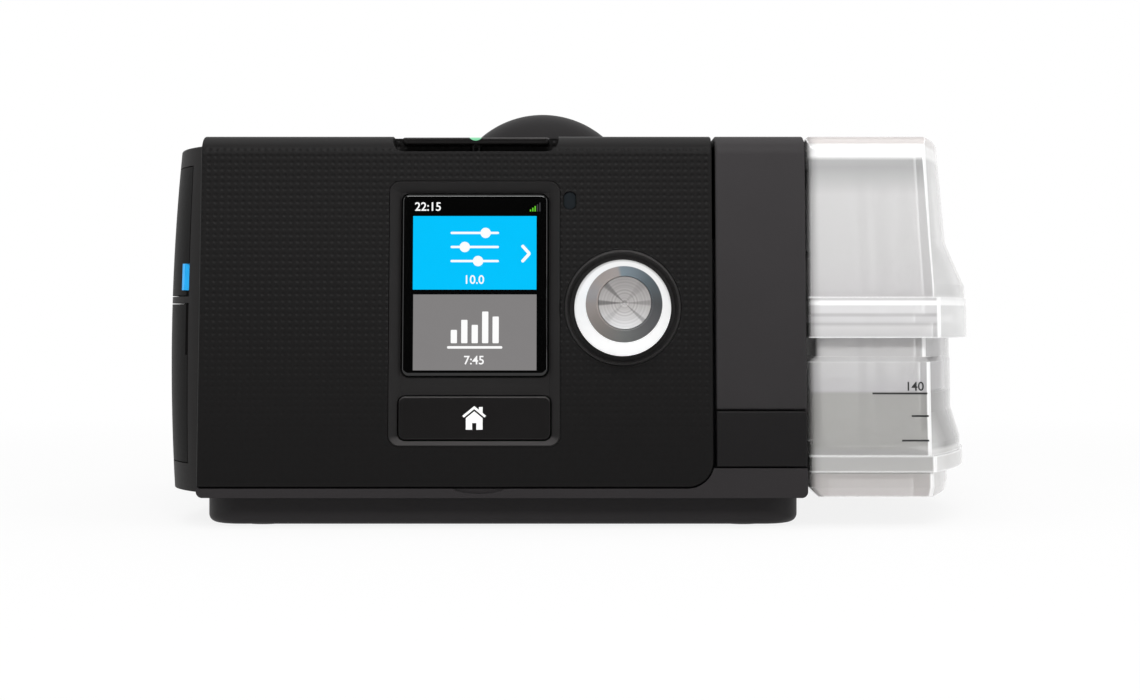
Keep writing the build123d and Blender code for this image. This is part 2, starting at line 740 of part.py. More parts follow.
with BuildPart() as start_switch:
    block(
        (START_X - SWITCH_SIZE / 2, START_X + SWITCH_SIZE / 2),
        (
            FRONT_Y + START_STEM_BACK - SWITCH_SIZE / 2,
            FRONT_Y + BOARD_DEPTH + lean_at(START_SWITCH_TOP) + WALL,
        ),
        (START_SWITCH_TOP - SWITCH_HEIGHT, START_SWITCH_TOP),
    )
    with BuildSketch(on_face(BOARD_DEPTH)):
        with Locations((START_X, up_face(BOARD_HIGH))):
            Rectangle(FAR, FAR)
    extrude(amount=-WALL * 3, mode=Mode.SUBTRACT)
start_switch.part.label = "start_switch"
export_step(start_switch.part, "parts/start_switch.step")

# ---- Main board ------------------------------------------------------------------------------
with BuildPart() as main_board:
    face_panel(
        (BOARD_LEFT + BOARD_RIGHT) / 2,
        (BOARD_LOW + BOARD_HIGH) / 2,
        (BOARD_RIGHT - BOARD_LEFT, up_face(BOARD_HIGH) - up_face(BOARD_LOW)),
        WALL,
        BOARD_DEPTH,
        BOARD_THICK,
    )
main_board.part.label = "main_board"
export_step(main_board.part, "parts/main_board.step")

with BuildPart() as board_components:
    for step in range(CHIP_COUNT):
        face_panel(
            BOARD_LEFT + CHIP_INSET,
            BOARD_LOW + CHIP_INSET + step * CHIP_PITCH,
            (CHIP_SIZE, CHIP_SIZE),
            EDGE_BREAK,
            BOARD_DEPTH - CHIP_THICK,
            CHIP_THICK,
        )
    for step in range(CAN_COUNT):
        face_round(
            BOARD_LEFT + CAN_INSET,
            BOARD_LOW + CAN_INSET + step * CAN_PITCH,
            CAN_RADIUS,
            BOARD_DEPTH - CAN_HEIGHT,
            CAN_HEIGHT,
        )
board_components.part.label = "board_components"
export_step(board_components.part, "parts/board_components.step")

# The card lies in a plane parallel to the board, on the board's back.
SOCKET_FRONT = BOARD_DEPTH + BOARD_THICK
CARD_FRONT = SOCKET_FRONT + SOCKET_SKIN + CARD_GAP
CARD_LEFT = BODY_LEFT - CARD_STAND_OUT
CARD_END = CARD_LEFT + CARD_LENGTH
SOCKET_LEFT = BODY_LEFT + WALL + SEAM
SOCKET_RIGHT = CARD_END + CARD_TRAVEL + SEAM + SOCKET_SKIN
with BuildPart() as memory_card:
    face_panel(
        (CARD_LEFT + CARD_END) / 2,
        CARD_Z,
        (CARD_LENGTH, CARD_WIDTH),
        EDGE_BREAK,
        CARD_FRONT,
        CARD_THICK,
    )
memory_card.part.label = "memory_card"
export_step(memory_card.part, "parts/memory_card.step")

with BuildPart() as card_socket:
    face_panel(
        (SOCKET_LEFT + SOCKET_RIGHT) / 2,
        CARD_Z,
        (SOCKET_RIGHT - SOCKET_LEFT, CARD_WIDTH + 2 * CARD_GAP + 2 * SOCKET_SKIN),
        EDGE_BREAK,
        SOCKET_FRONT,
        CARD_THICK + 2 * CARD_GAP + 2 * SOCKET_SKIN,
    )
    face_panel(
        (SOCKET_LEFT - WALL + SOCKET_RIGHT - SOCKET_SKIN) / 2,
        CARD_Z,
        (SOCKET_RIGHT - SOCKET_SKIN - SOCKET_LEFT + WALL, CARD_WIDTH + 2 * CARD_GAP),
        EDGE_BREAK,
        CARD_FRONT - CARD_GAP,
        CARD_THICK + 2 * CARD_GAP,
        Mode.SUBTRACT,
    )
card_socket.part.label = "card_socket"
export_step(card_socket.part, "parts/card_socket.step")

# ---- Bottom case -----------------------------------------------------------------------------
SLIT_PLANE = on_face(CARD_FRONT - CARD_GAP)
FILTER_LEFT = FILTER_X - FILTER_WIDTH / 2
FILTER_RIGHT = FILTER_X + FILTER_WIDTH / 2
FILTER_HINGE_X = FILTER_LEFT - COVER_MARGIN
FILTER_HINGE_Y = BODY_BACK + LUG_RADIUS + SEAM
PAD_LOW = FILTER_Z - FILTER_HEIGHT / 2
PAD_HIGH = FILTER_Z + FILTER_HEIGHT / 2
FILTER_LOW = PAD_LOW - COVER_MARGIN
FILTER_HIGH = PAD_HIGH + COVER_MARGIN
CLIP_Y = BODY_BACK + CLIP_BARREL + SEAM
CLIP_HALF = CLIP_GAP / 2 + CLIP_LEG
SCREW_SPOTS = [
    (x, y)
    for x in (PLINTH_LEFT + SCREW_INSET_X, PLINTH_RIGHT - SCREW_INSET_X)
    for y in (FRONT_Y + PLINTH_FRONT + SCREW_INSET_Y, FRONT_Y + PLINTH_BACK - SCREW_INSET_Y)
]
with BuildPart() as bottom_case:
    body_block(BODY_LEFT, BODY_RIGHT)
    fillet(bottom_case.edges().filter_by(Axis.Y).group_by(Axis.Z)[0], LOW_EDGE_RADIUS)
    body_block(BODY_LEFT + WALL, BODY_RIGHT + WALL, WALL, BODY_BOTTOM + FLOOR, Mode.SUBTRACT)
    block((-FAR, FAR), (-FAR, FAR), (CASE_SPLIT, FAR), Mode.SUBTRACT)
    # Room for the fascia with its left return, and for the cover and plate on the right.
    fascia_cut = FRONT_Y + FASCIA_RETURN + lean_at(BODY_TOP) + SEAM
    block((BODY_LEFT - WALL, BODY_LEFT + WALL), (-FAR, fascia_cut), (FASCIA_BOTTOM - SEAM, FAR), Mode.SUBTRACT)
    with BuildSketch(on_face(-WALL)) as opening:
        with Locations(((BODY_LEFT + FASCIA_RIGHT) / 2, up_face(FASCIA_BOTTOM) - SEAM + CASE_SPLIT / 2)):
            Rectangle(FASCIA_RIGHT - BODY_LEFT + 2 * SEAM, CASE_SPLIT)
        fillet(opening.vertices().group_by(Axis.Y)[0].sort_by(Axis.X)[-1], FASCIA_CORNER + SEAM)
    extrude(amount=-WALL * 3, mode=Mode.SUBTRACT)
    block((FASCIA_RIGHT, FAR), (-FAR, FRONT_Y + FASCIA_WRAP), (PLATE_BOTTOM, FAR), Mode.SUBTRACT)
    # Thumb notch in the front lip.
    with BuildSketch(Plane.XZ.offset(-FRONT_Y + WALL)):
        with Locations((NOTCH_X, FASCIA_BOTTOM)):
            Ellipse(THUMB_WIDTH / 2, FASCIA_BOTTOM - BODY_BOTTOM - THUMB_DEPTH)
    extrude(amount=-WALL - THUMB_DEPTH, mode=Mode.SUBTRACT)
    # Slit for the memory card and window for the adapter port in the left wall.
    with BuildSketch(SLIT_PLANE):
        with Locations((BODY_LEFT + WALL / 2, up_face(CARD_Z))):
            Rectangle(WALL * 3, CARD_WIDTH + 2 * CARD_GAP)
    extrude(amount=-CARD_THICK - 2 * CARD_GAP, mode=Mode.SUBTRACT)
    # Tray for the filter pad, open to the back, with a ledge that the pad rests on.
    block(
        (FILTER_LEFT - TRAY_SKIN, FILTER_RIGHT + TRAY_SKIN),
        (BODY_BACK - FILTER_THICK - TRAY_SKIN, BODY_BACK - WALL / 2),
        (PAD_LOW - TRAY_SKIN, PAD_HIGH + TRAY_SKIN),
    )
    block((FILTER_LEFT, FILTER_RIGHT), (BODY_BACK - FILTER_THICK, BODY_BACK + WALL), (PAD_LOW, PAD_HIGH),
          Mode.SUBTRACT)
    block(
        (FILTER_LEFT + FILTER_LEDGE, FILTER_RIGHT - FILTER_LEDGE),
        (BODY_BACK - FILTER_THICK * 2, BODY_BACK),
        (PAD_LOW + FILTER_LEDGE, PAD_HIGH - FILTER_LEDGE),
        Mode.SUBTRACT,
    )
    # Power socket hole.
    pin(POWER_X, BODY_BACK + WALL, POWER_Z, POWER_BODY + PIN_SLIP, WALL * 3, (0, -1, 0), Mode.SUBTRACT)
    # Lugs for the filter cover's pin.
    for z in (FILTER_LOW - SEAM - LUG_LENGTH, FILTER_HIGH + SEAM):
        pin(FILTER_HINGE_X, FILTER_HINGE_Y, z, LUG_RADIUS, LUG_LENGTH, (0, 0, 1))
        block(
            (FILTER_HINGE_X - LUG_RADIUS, FILTER_HINGE_X + LUG_RADIUS),
            (BODY_BACK - WALL / 2, FILTER_HINGE_Y),
            (z, z + LUG_LENGTH),
        )
    pin(FILTER_HINGE_X, FILTER_HINGE_Y, FILTER_LOW - LUG_LENGTH * 2, PIN_RADIUS + PIN_SLIP,
        FILTER_HIGH - FILTER_LOW + LUG_LENGTH * 4, (0, 0, 1), Mode.SUBTRACT)
    # Lugs for the retention clip's pin.
    for x in (POWER_X - CLIP_GAP / 2 + SEAM, POWER_X + CLIP_GAP / 2 - SEAM - LUG_LENGTH):
        pin(x, CLIP_Y, CLIP_Z, CLIP_BARREL, LUG_LENGTH, (1, 0, 0))
        block(
            (x, x + LUG_LENGTH),
            (BODY_BACK - WALL / 2, CLIP_Y),
            (CLIP_Z - CLIP_BARREL, CLIP_Z + CLIP_BARREL),
        )
    pin(POWER_X - CLIP_HALF, CLIP_Y, CLIP_Z, PIN_RADIUS + PIN_SLIP, CLIP_HALF * 2, (1, 0, 0), Mode.SUBTRACT)
    for x, y in SCREW_SPOTS:
        pin(x, y, BODY_BOTTOM - WALL, SCREW_RADIUS, WALL + FLOOR * 2, (0, 0, 1), Mode.SUBTRACT)
bottom_case.part.label = "bottom_case"
export_step(bottom_case.part, "parts/bottom_case.step")

# ---- Top case --------------------------------------------------------------------------------
with BuildPart() as top_case:
    body_block(BODY_LEFT, BODY_RIGHT)
    body_block(BODY_LEFT + WALL, BODY_RIGHT + WALL, WALL, BODY_BOTTOM - WALL, Mode.SUBTRACT)
    block((-FAR, FAR), (-FAR, FAR), (-FAR, CASE_SPLIT), Mode.SUBTRACT)
    block((-FAR, FAR), (-FAR, fascia_cut), (-FAR, FAR), Mode.SUBTRACT)
    block((-FAR, FAR), (-FAR, FRONT_Y + FASCIA_WRAP + SEAM), (BODY_TOP - WALL - SEAM, FAR), Mode.SUBTRACT)
    pin(OUTLET_X, BODY_BACK - WALL * 2 - COLLAR_DEPTH, OUTLET_Z, OUTLET_COLLAR + SLIP, FAR, (0, 1, 0), Mode.SUBTRACT)
top_case.part.label = "top_case"
export_step(top_case.part, "parts/top_case.step")

# ---- Left side pod ---------------------------------------------------------------------------
def pod_outline(z, reach, inset):
    """Plan of the pod at a height: round nose, straight flank, long round tail."""
    front = FRONT_Y + POD_SETBACK + lean_at(z)
    nose_radius = (reach**2 + POD_NOSE**2) / (2 * reach)
    tail_radius = (reach**2 + POD_TAIL**2) / (2 * reach)
    nose_turn = degrees(acos((nose_radius - reach) / (nose_radius - inset)))
    tail_turn = degrees(acos((tail_radius - reach) / (tail_radius - inset)))
    flank_x = BODY_LEFT - reach + inset
    nose_y = front + POD_NOSE
    tail_y = FRONT_Y + POD_LENGTH - POD_TAIL
    with BuildSketch(Plane.XY.offset(z)) as plan:
        with BuildLine():
            nose = JernArc((flank_x, nose_y), (0, -1), nose_radius - inset, nose_turn)
            tail = JernArc((flank_x, tail_y), (0, 1), tail_radius - inset, -tail_turn)
            Line((flank_x, nose_y), (flank_x, tail_y))
            Line(nose @ 1, tail @ 1)
        make_face()
    return plan.sketch


def pod_solid(inset=0.0, mode=Mode.ADD):
    """Pod bulging out of the body's left side, leaning with the front face."""
    sections = [
        pod_outline(POD_BOTTOM, POD_REACH_BOTTOM, inset),
        pod_outline(POD_MIDDLE, POD_REACH_MIDDLE, inset),
        pod_outline(POD_TOP, POD_REACH_TOP, inset),
    ]
    loft(sections, mode=mode)


def side_strip(low, high, front, back, mode):
    """Band of the pod between two heights, from a leaning front line to a back line."""
    with BuildSketch(Plane.YZ.offset(BODY_LEFT)) as strip:
        with BuildLine():
            Polyline(
                (front + lean_at(low), low),
                (front + lean_at(high), high),
                (back(high), high),
                (back(low), low),
                close=True,
            )
        make_face()
    extrude(strip.sketch, amount=-POD_REACH_MIDDLE * 2, mode=mode)


DOORS = [
    (LOWER_DOOR_BOTTOM, LEDGE_BOTTOM),
    (LEDGE_TOP, UPPER_DOOR_TOP),
]
HINGE_X = BODY_LEFT - POD_REACH_MIDDLE + BARREL_INSET
HINGE_Y = FRONT_Y + DOOR_BACK
DOOR_FRONT_Y = FRONT_Y + DOOR_FRONT

with BuildPart() as side_frame:
    pod_solid()
    fillet(side_frame.faces().sort_by(Axis.Z)[-1].edges().sort_by(Axis.X)[:-1], EDGE_BREAK)
    for low, high in DOORS:
        side_strip(low, high, DOOR_FRONT_Y, lambda z: HINGE_Y, Mode.SUBTRACT)
        block((-FAR, HINGE_X), (HINGE_Y - WALL, HINGE_Y + BARREL_INSET + DOOR_GAP), (low, high), Mode.SUBTRACT)
        pin(HINGE_X, HINGE_Y, low, BARREL_RADIUS + SEAM * 2, high - low, (0, 0, 1), Mode.SUBTRACT)
        pin(HINGE_X, HINGE_Y, low - PIN_BITE, PIN_RADIUS + PIN_SLIP, high - low + 2 * PIN_BITE, (0, 0, 1),
            Mode.SUBTRACT)
    # Hollow behind the doors, open toward the case.
    block(
        (BODY_LEFT - POD_REACH_TOP + POD_SKIN * 2, BODY_LEFT),
        (HINGE_Y + BARREL_INSET + POD_SKIN, FRONT_Y + POD_LENGTH - POD_TAIL / 3),
        (LOWER_DOOR_BOTTOM, UPPER_DOOR_TOP),
        Mode.SUBTRACT,
    )
side_frame.part.label = "side_frame"
export_step(side_frame.part, "parts/side_frame.step")


def side_door(low, high):
    """Curved door that follows the pod, with a hinge barrel along its back edge."""
    pod_solid()
    pod_solid(POD_SKIN, Mode.SUBTRACT)
    side_strip(low + DOOR_GAP, high - DOOR_GAP, DOOR_FRONT_Y + DOOR_GAP, lambda z: HINGE_Y, Mode.INTERSECT)
    pin(HINGE_X, HINGE_Y, low + DOOR_GAP, BARREL_RADIUS, high - low - 2 * DOOR_GAP, (0, 0, 1))
    # Web that joins the barrel to the door's skin.
    block(
        (BODY_LEFT - POD_REACH_TOP - POD_SKIN / 2, HINGE_X),
        (HINGE_Y - BARREL_RADIUS, HINGE_Y),
        (low + DOOR_GAP, high - DOOR_GAP),
    )
    pin(HINGE_X, HINGE_Y, low, PIN_RADIUS + PIN_SLIP, high - low, (0, 0, 1), Mode.SUBTRACT)
    # Finger notch in the front edge.
    side_strip(
        NOTCH_LOW,
        NOTCH_HIGH,
        DOOR_FRONT_Y - WALL,
        lambda z: DOOR_FRONT_Y + NOTCH_WIDTH + lean_at(z),
        Mode.SUBTRACT,
    )


with BuildPart() as card_cover:
    side_door(*DOORS[0])
card_cover.part.label = "card_cover"
export_step(card_cover.part, "parts/card_cover.step")

TAB_FRONT_Y = DOOR_FRONT_Y + NOTCH_WIDTH
TAB_LOW = NOTCH_HIGH - TAB_HEIGHT
with BuildPart() as adapter_cover:
    side_door(*DOORS[1])
    side_strip(TAB_LOW, NOTCH_HIGH, TAB_FRONT_Y - WALL, lambda z: TAB_FRONT_Y + TAB_WIDTH + lean_at(z),
               Mode.SUBTRACT)
adapter_cover.part.label = "adapter_cover"
export_step(adapter_cover.part, "parts/adapter_cover.step")

with BuildPart() as side_door_pins:
    for low, high in DOORS:
        pin(HINGE_X, HINGE_Y, low - PIN_BITE + PIN_SLIP, PIN_RADIUS, high - low + 2 * PIN_BITE - 2 * PIN_SLIP,
            (0, 0, 1))
side_door_pins.part.label = "side_door_pins"
export_step(side_door_pins.part, "parts/side_door_pins.step")

with BuildPart() as adapter_cover_tab:
    pod_solid(-TAB_STAND)
    pod_solid(POD_SKIN, Mode.SUBTRACT)
    side_strip(TAB_LOW + PIN_SLIP, NOTCH_HIGH - PIN_SLIP, TAB_FRONT_Y,
               lambda z: TAB_FRONT_Y + TAB_WIDTH - PIN_SLIP + lean_at(z), Mode.INTERSECT)
adapter_cover_tab.part.label = "adapter_cover_tab"
export_step(adapter_cover_tab.part, "parts/adapter_cover_tab.step")

with BuildPart() as adapter_port:
    with Locations((BODY_LEFT - PORT_THICK / 2, FRONT_Y + PORT_BACK, PORT_Z)):
        Box(PORT_THICK, PORT_WIDTH, PORT_HEIGHT)
        with Locations((-PORT_THICK / 2, 0, 0)):
            Box(PORT_THICK, PORT_WIDTH / 2, PORT_HEIGHT * 3 / 4, mode=Mode.SUBTRACT)
adapter_port.part.label = "adapter_port"
export_step(adapter_port.part, "parts/adapter_port.step")

# ---- Tub bay ---------------------------------------------------------------------------------
BAY_Y = (FRONT_Y + BAY_FRONT, FRONT_Y + BAY_BACK)
CASE_FLOOR = BODY_BOTTOM + FLOOR
INLET_PORT_Y = FRONT_Y + BLOWER_Y - VOLUTE_RADIUS + PORT_BORE
OUTLET_Y = FRONT_Y + OUTLET_PORT_Y
DUCT_START = BAY_LEFT - BAY_SKIN - PORT_SKIN
TUB_INNER_LEFT = BAY_LEFT + TUB_SLIP
HEATER_Y = sum(BAY_Y) / 2
HEATER_TOP = BAY_FLOOR + HEATER_STAND

with BuildPart() as bay_liner:
    body_block(BODY_RIGHT - BAY_PLATE, BODY_RIGHT, WALL + SLIP, CASE_FLOOR)
    block(
        (BAY_LEFT - BAY_SKIN, BODY_RIGHT - BAY_PLATE / 2),
        (BAY_Y[0] - BAY_SKIN, BAY_Y[1] + BAY_SKIN),
        (CASE_FLOOR, BAY_ROOF + BAY_SKIN),
    )
    block((BAY_LEFT, BODY_RIGHT + WALL), BAY_Y, (BAY_FLOOR, BAY_ROOF), Mode.SUBTRACT)
    with Locations((HEATER_X, HEATER_Y, BAY_FLOOR)):
        Box(HEATER_SIZE + 2 * SLIP, HEATER_SIZE + 2 * SLIP, WALL * 2, mode=Mode.SUBTRACT)
    for y in (INLET_PORT_Y, OUTLET_Y):
        pin(BAY_LEFT + WALL, y, PORT_Z_TUB, PORT_BORE + PORT_SKIN + PIN_SLIP, WALL * 3, (-1, 0, 0), Mode.SUBTRACT)
bay_liner.part.label = "bay_liner"
export_step(bay_liner.part, "parts/bay_liner.step")

with BuildPart() as port_seals:
    for y in (INLET_PORT_Y, OUTLET_Y):
        pin(DUCT_START, y, PORT_Z_TUB, PORT_BORE + PORT_SKIN, TUB_INNER_LEFT - SEAL_GAP - DUCT_START, (1, 0, 0))
        pin(BAY_LEFT, y, PORT_Z_TUB, PORT_BORE + 2 * PORT_SKIN, TUB_SLIP - SEAL_GAP, (1, 0, 0))
        pin(DUCT_START, y, PORT_Z_TUB, PORT_BORE, WALL * 3, (1, 0, 0), Mode.SUBTRACT)
port_seals.part.label = "port_seals"
export_step(port_seals.part, "parts/port_seals.step")

with BuildPart() as heater_plate:
    with Locations((HEATER_X, HEATER_Y, (CASE_FLOOR + HEATER_TOP) / 2)):
        Box(HEATER_SIZE, HEATER_SIZE, HEATER_TOP - CASE_FLOOR)
    fillet(heater_plate.edges().filter_by(Axis.Z), WALL)
heater_plate.part.label = "heater_plate"
export_step(heater_plate.part, "parts/heater_plate.step")

# ---- Blower ----------------------------------------------------------------------------------
WHEEL_Y = FRONT_Y + BLOWER_Y
VOLUTE_FLOOR = PORT_Z_TUB - VOLUTE_HALF
VOLUTE_LOW = VOLUTE_FLOOR - VOLUTE_SKIN
VOLUTE_HIGH = PORT_Z_TUB + VOLUTE_HALF + VOLUTE_SKIN
WHEEL_LOW = VOLUTE_FLOOR + WHEEL_GAP
WHEEL_TOP = WHEEL_LOW + WHEEL_PLATE + BLADE_HEIGHT


def volute():
    """Round blower casing with its outlet duct toward the tub."""
    pin(BLOWER_X, WHEEL_Y, VOLUTE_LOW, VOLUTE_RADIUS + VOLUTE_SKIN, VOLUTE_HIGH - VOLUTE_LOW, (0, 0, 1))
    pin(BLOWER_X, INLET_PORT_Y, PORT_Z_TUB, PORT_BORE + PORT_SKIN, DUCT_START - BLOWER_X, (1, 0, 0))
    pin(BLOWER_X, WHEEL_Y, VOLUTE_FLOOR, VOLUTE_RADIUS, 2 * VOLUTE_HALF, (0, 0, 1), Mode.SUBTRACT)
    pin(BLOWER_X, INLET_PORT_Y, PORT_Z_TUB, PORT_BORE, DUCT_START - BLOWER_X, (1, 0, 0), Mode.SUBTRACT)


with BuildPart() as volute_lower:
    volute()
    block((-FAR, FAR), (-FAR, FAR), (PORT_Z_TUB, FAR), Mode.SUBTRACT)
    pin(BLOWER_X, WHEEL_Y, VOLUTE_LOW, AXLE_RADIUS + WALL / 2, VOLUTE_SKIN, (0, 0, 1), Mode.SUBTRACT)
volute_lower.part.label = "volute_lower"
export_step(volute_lower.part, "parts/volute_lower.step")

with BuildPart() as volute_upper:
    volute()
    block((-FAR, FAR), (-FAR, FAR), (-FAR, PORT_Z_TUB), Mode.SUBTRACT)
    pin(BLOWER_X, WHEEL_Y, VOLUTE_HIGH, EYE_RADIUS + VOLUTE_SKIN, EYE_COLLAR, (0, 0, 1))
    pin(BLOWER_X, WHEEL_Y, PORT_Z_TUB, EYE_RADIUS, FAR, (0, 0, 1), Mode.SUBTRACT)
volute_upper.part.label = "volute_upper"
export_step(volute_upper.part, "parts/volute_upper.step")

with BuildPart() as impeller:
    pin(BLOWER_X, WHEEL_Y, WHEEL_LOW, WHEEL_RADIUS, WHEEL_PLATE, (0, 0, 1))
    pin(BLOWER_X, WHEEL_Y, WHEEL_LOW, WHEEL_HUB, WHEEL_PLATE + BLADE_HEIGHT / 2, (0, 0, 1))
    with Locations((BLOWER_X, WHEEL_Y, WHEEL_LOW + WHEEL_PLATE)):
        with PolarLocations(WHEEL_RADIUS - BLADE_LENGTH / 2, BLADE_COUNT):
            Box(
                BLADE_LENGTH,
                BLADE_THICK,
                BLADE_HEIGHT,
                rotation=(0, 0, BLADE_SWEEP),
                align=(Align.CENTER, Align.CENTER, Align.MIN),
            )
    pin(BLOWER_X, WHEEL_Y, WHEEL_LOW, AXLE_RADIUS + PIN_SLIP, WALL * 4, (0, 0, 1), Mode.SUBTRACT)
impeller.part.label = "impeller"
export_step(impeller.part, "parts/impeller.step")

with BuildPart() as motor_can:
    pin(BLOWER_X, WHEEL_Y, CAN_BOTTOM, CAN_RADIUS, VOLUTE_LOW - CAN_BOTTOM, (0, 0, 1))
    pin(BLOWER_X, WHEEL_Y, CAN_BOTTOM + CAN_SKIN, CAN_RADIUS - CAN_SKIN, VOLUTE_LOW - CAN_BOTTOM - 2 * CAN_SKIN,
        (0, 0, 1), Mode.SUBTRACT)
    pin(BLOWER_X, WHEEL_Y, CAN_BOTTOM, AXLE_RADIUS + CAN_SKIN / 2, FAR, (0, 0, 1), Mode.SUBTRACT)
motor_can.part.label = "motor_can"
export_step(motor_can.part, "parts/motor_can.step")

with BuildPart() as motor_stator:
    pin(BLOWER_X, WHEEL_Y, STATOR_LOW, CAN_RADIUS - CAN_SKIN, STATOR_HIGH - STATOR_LOW, (0, 0, 1))
    pin(BLOWER_X, WHEEL_Y, STATOR_LOW, STATOR_INNER, STATOR_HIGH - STATOR_LOW, (0, 0, 1), Mode.SUBTRACT)
    with Locations((BLOWER_X, WHEEL_Y, (STATOR_LOW + STATOR_HIGH) / 2)):
        with PolarLocations((STATOR_INNER + CAN_RADIUS - CAN_SKIN) / 2, WINDING_COUNT):
            Cylinder(WINDING_RADIUS, STATOR_HIGH - STATOR_LOW, mode=Mode.SUBTRACT)
motor_stator.part.label = "motor_stator"
export_step(motor_stator.part, "parts/motor_stator.step")

BEARING_SPOTS = [CAN_BOTTOM + CAN_SKIN, VOLUTE_LOW - CAN_SKIN - BEARING_HEIGHT]
with BuildPart() as motor_bearings:
    for z in BEARING_SPOTS:
        pin(BLOWER_X, WHEEL_Y, z, BEARING_RADIUS, BEARING_HEIGHT, (0, 0, 1))
        pin(BLOWER_X, WHEEL_Y, z, AXLE_RADIUS + AXLE_RUN, BEARING_HEIGHT, (0, 0, 1), Mode.SUBTRACT)
motor_bearings.part.label = "motor_bearings"
export_step(motor_bearings.part, "parts/motor_bearings.step")

with BuildPart() as motor_rotor:
    pin(BLOWER_X, WHEEL_Y, CAN_BOTTOM + CAN_SKIN, AXLE_RADIUS, WHEEL_TOP - BLADE_HEIGHT / 2 - CAN_BOTTOM - CAN_SKIN,
        (0, 0, 1))
    pin(BLOWER_X, WHEEL_Y, STATOR_LOW + WHEEL_GAP, MAGNET_RADIUS, STATOR_HIGH - STATOR_LOW - 2 * WHEEL_GAP,
        (0, 0, 1))
motor_rotor.part.label = "motor_rotor"
export_step(motor_rotor.part, "parts/motor_rotor.step")

with BuildPart() as blower_mount:
    pin(BLOWER_X, WHEEL_Y, CASE_FLOOR, MOUNT_RADIUS, MOUNT_HEIGHT, (0, 0, 1))
    pin(BLOWER_X, WHEEL_Y, CAN_BOTTOM, CAN_RADIUS + PIN_SLIP, FAR, (0, 0, 1), Mode.SUBTRACT)
    pin(BLOWER_X, WHEEL_Y, CASE_FLOOR, MOUNT_LEDGE, FAR, (0, 0, 1), Mode.SUBTRACT)
blower_mount.part.label = "blower_mount"
export_step(blower_mount.part, "parts/blower_mount.step")

# ---- Outlet ----------------------------------------------------------------------------------
with BuildPart() as outlet_duct:
    with BuildLine() as duct_path:
        FilletPolyline(
            (DUCT_START, OUTLET_Y, PORT_Z_TUB),
            (DUCT_RISER_X, OUTLET_Y, PORT_Z_TUB),
            (DUCT_RISER_X, OUTLET_Y, OUTLET_Z),
            (OUTLET_X, OUTLET_Y, OUTLET_Z),
            (OUTLET_X, FRONT_Y + DUCT_END, OUTLET_Z),
            radius=DUCT_BEND,
        )
    with BuildSketch(Plane(origin=duct_path.line @ 0, z_dir=duct_path.line % 0)):
        Circle(PORT_BORE + PORT_SKIN)
        Circle(PORT_BORE, mode=Mode.SUBTRACT)
    sweep()
outlet_duct.part.label = "outlet_duct"
export_step(outlet_duct.part, "parts/outlet_duct.step")

SHROUD_BACK = BODY_BACK + DOME_PLATE
COLLAR_Y = BODY_BACK - WALL - COLLAR_DEPTH
with BuildPart() as outlet_connector:
    pin(OUTLET_X, SHROUD_BACK, OUTLET_Z, OUTLET_RADIUS, OUTLET_LENGTH, (0, 1, 0))
    chamfer(outlet_connector.edges().sort_by(Axis.Y)[-1], OUTLET_CHAMFER)
    pin(OUTLET_X, COLLAR_Y, OUTLET_Z, OUTLET_COLLAR, SHROUD_BACK - COLLAR_Y, (0, 1, 0))
    pin(OUTLET_X, FRONT_Y + DUCT_END, OUTLET_Z, PORT_BORE + PORT_SKIN, COLLAR_Y - FRONT_Y - DUCT_END, (0, 1, 0))
    pin(OUTLET_X, FRONT_Y + DUCT_END, OUTLET_Z, PORT_BORE, FAR, (0, 1, 0), Mode.SUBTRACT)
    pin(OUTLET_X, COLLAR_Y + WALL, OUTLET_Z, OUTLET_BORE, FAR, (0, 1, 0), Mode.SUBTRACT)
outlet_connector.part.label = "outlet_connector"
export_step(outlet_connector.part, "parts/outlet_connector.step")


def dome(inset, mode=Mode.ADD):
    """Dome that swells out of the top and back of the body round the outlet."""
    radius = DOME_RADIUS - inset
    full = SHROUD_BACK - DOME_STRAIGHT
    front = full - DOME_NOSE + inset
    back = SHROUD_BACK - inset
    with BuildSketch(Plane(origin=(OUTLET_X, 0, DOME_Z), x_dir=(0, 0, 1), z_dir=(-1, 0, 0))) as half:
        with BuildLine():
            EllipticalCenterArc((0, full), radius, full - front, start_angle=270, arc_size=90)
            Polyline((radius, full), (radius, back), (0, back), (0, front))
        make_face()
        fillet(half.vertices().sort_by(Axis.Y)[-2:].sort_by(Axis.X)[-1], DOME_EDGE)
    revolve(half.sketch, axis=Axis((OUTLET_X, 0, DOME_Z), (0, 1, 0)), mode=mode)


with BuildPart() as outlet_shroud:
    dome(0)
    dome(DOME_SKIN, Mode.SUBTRACT)
    body_block(BODY_LEFT, BODY_RIGHT, mode=Mode.SUBTRACT)
    pin(OUTLET_X, BODY_BACK, OUTLET_Z, OUTLET_COLLAR + SLIP, FAR, (0, 1, 0), Mode.SUBTRACT)
outlet_shroud.part.label = "outlet_shroud"
export_step(outlet_shroud.part, "parts/outlet_shroud.step")

# ---- Air filter ------------------------------------------------------------------------------
with BuildPart() as air_filter:
    block(
        (FILTER_LEFT + SLIP, FILTER_RIGHT - SLIP),
        (BODY_BACK - FILTER_THICK, BODY_BACK),
        (PAD_LOW + SLIP, PAD_HIGH - SLIP),
    )
air_filter.part.label = "air_filter"
export_step(air_filter.part, "parts/air_filter.step")

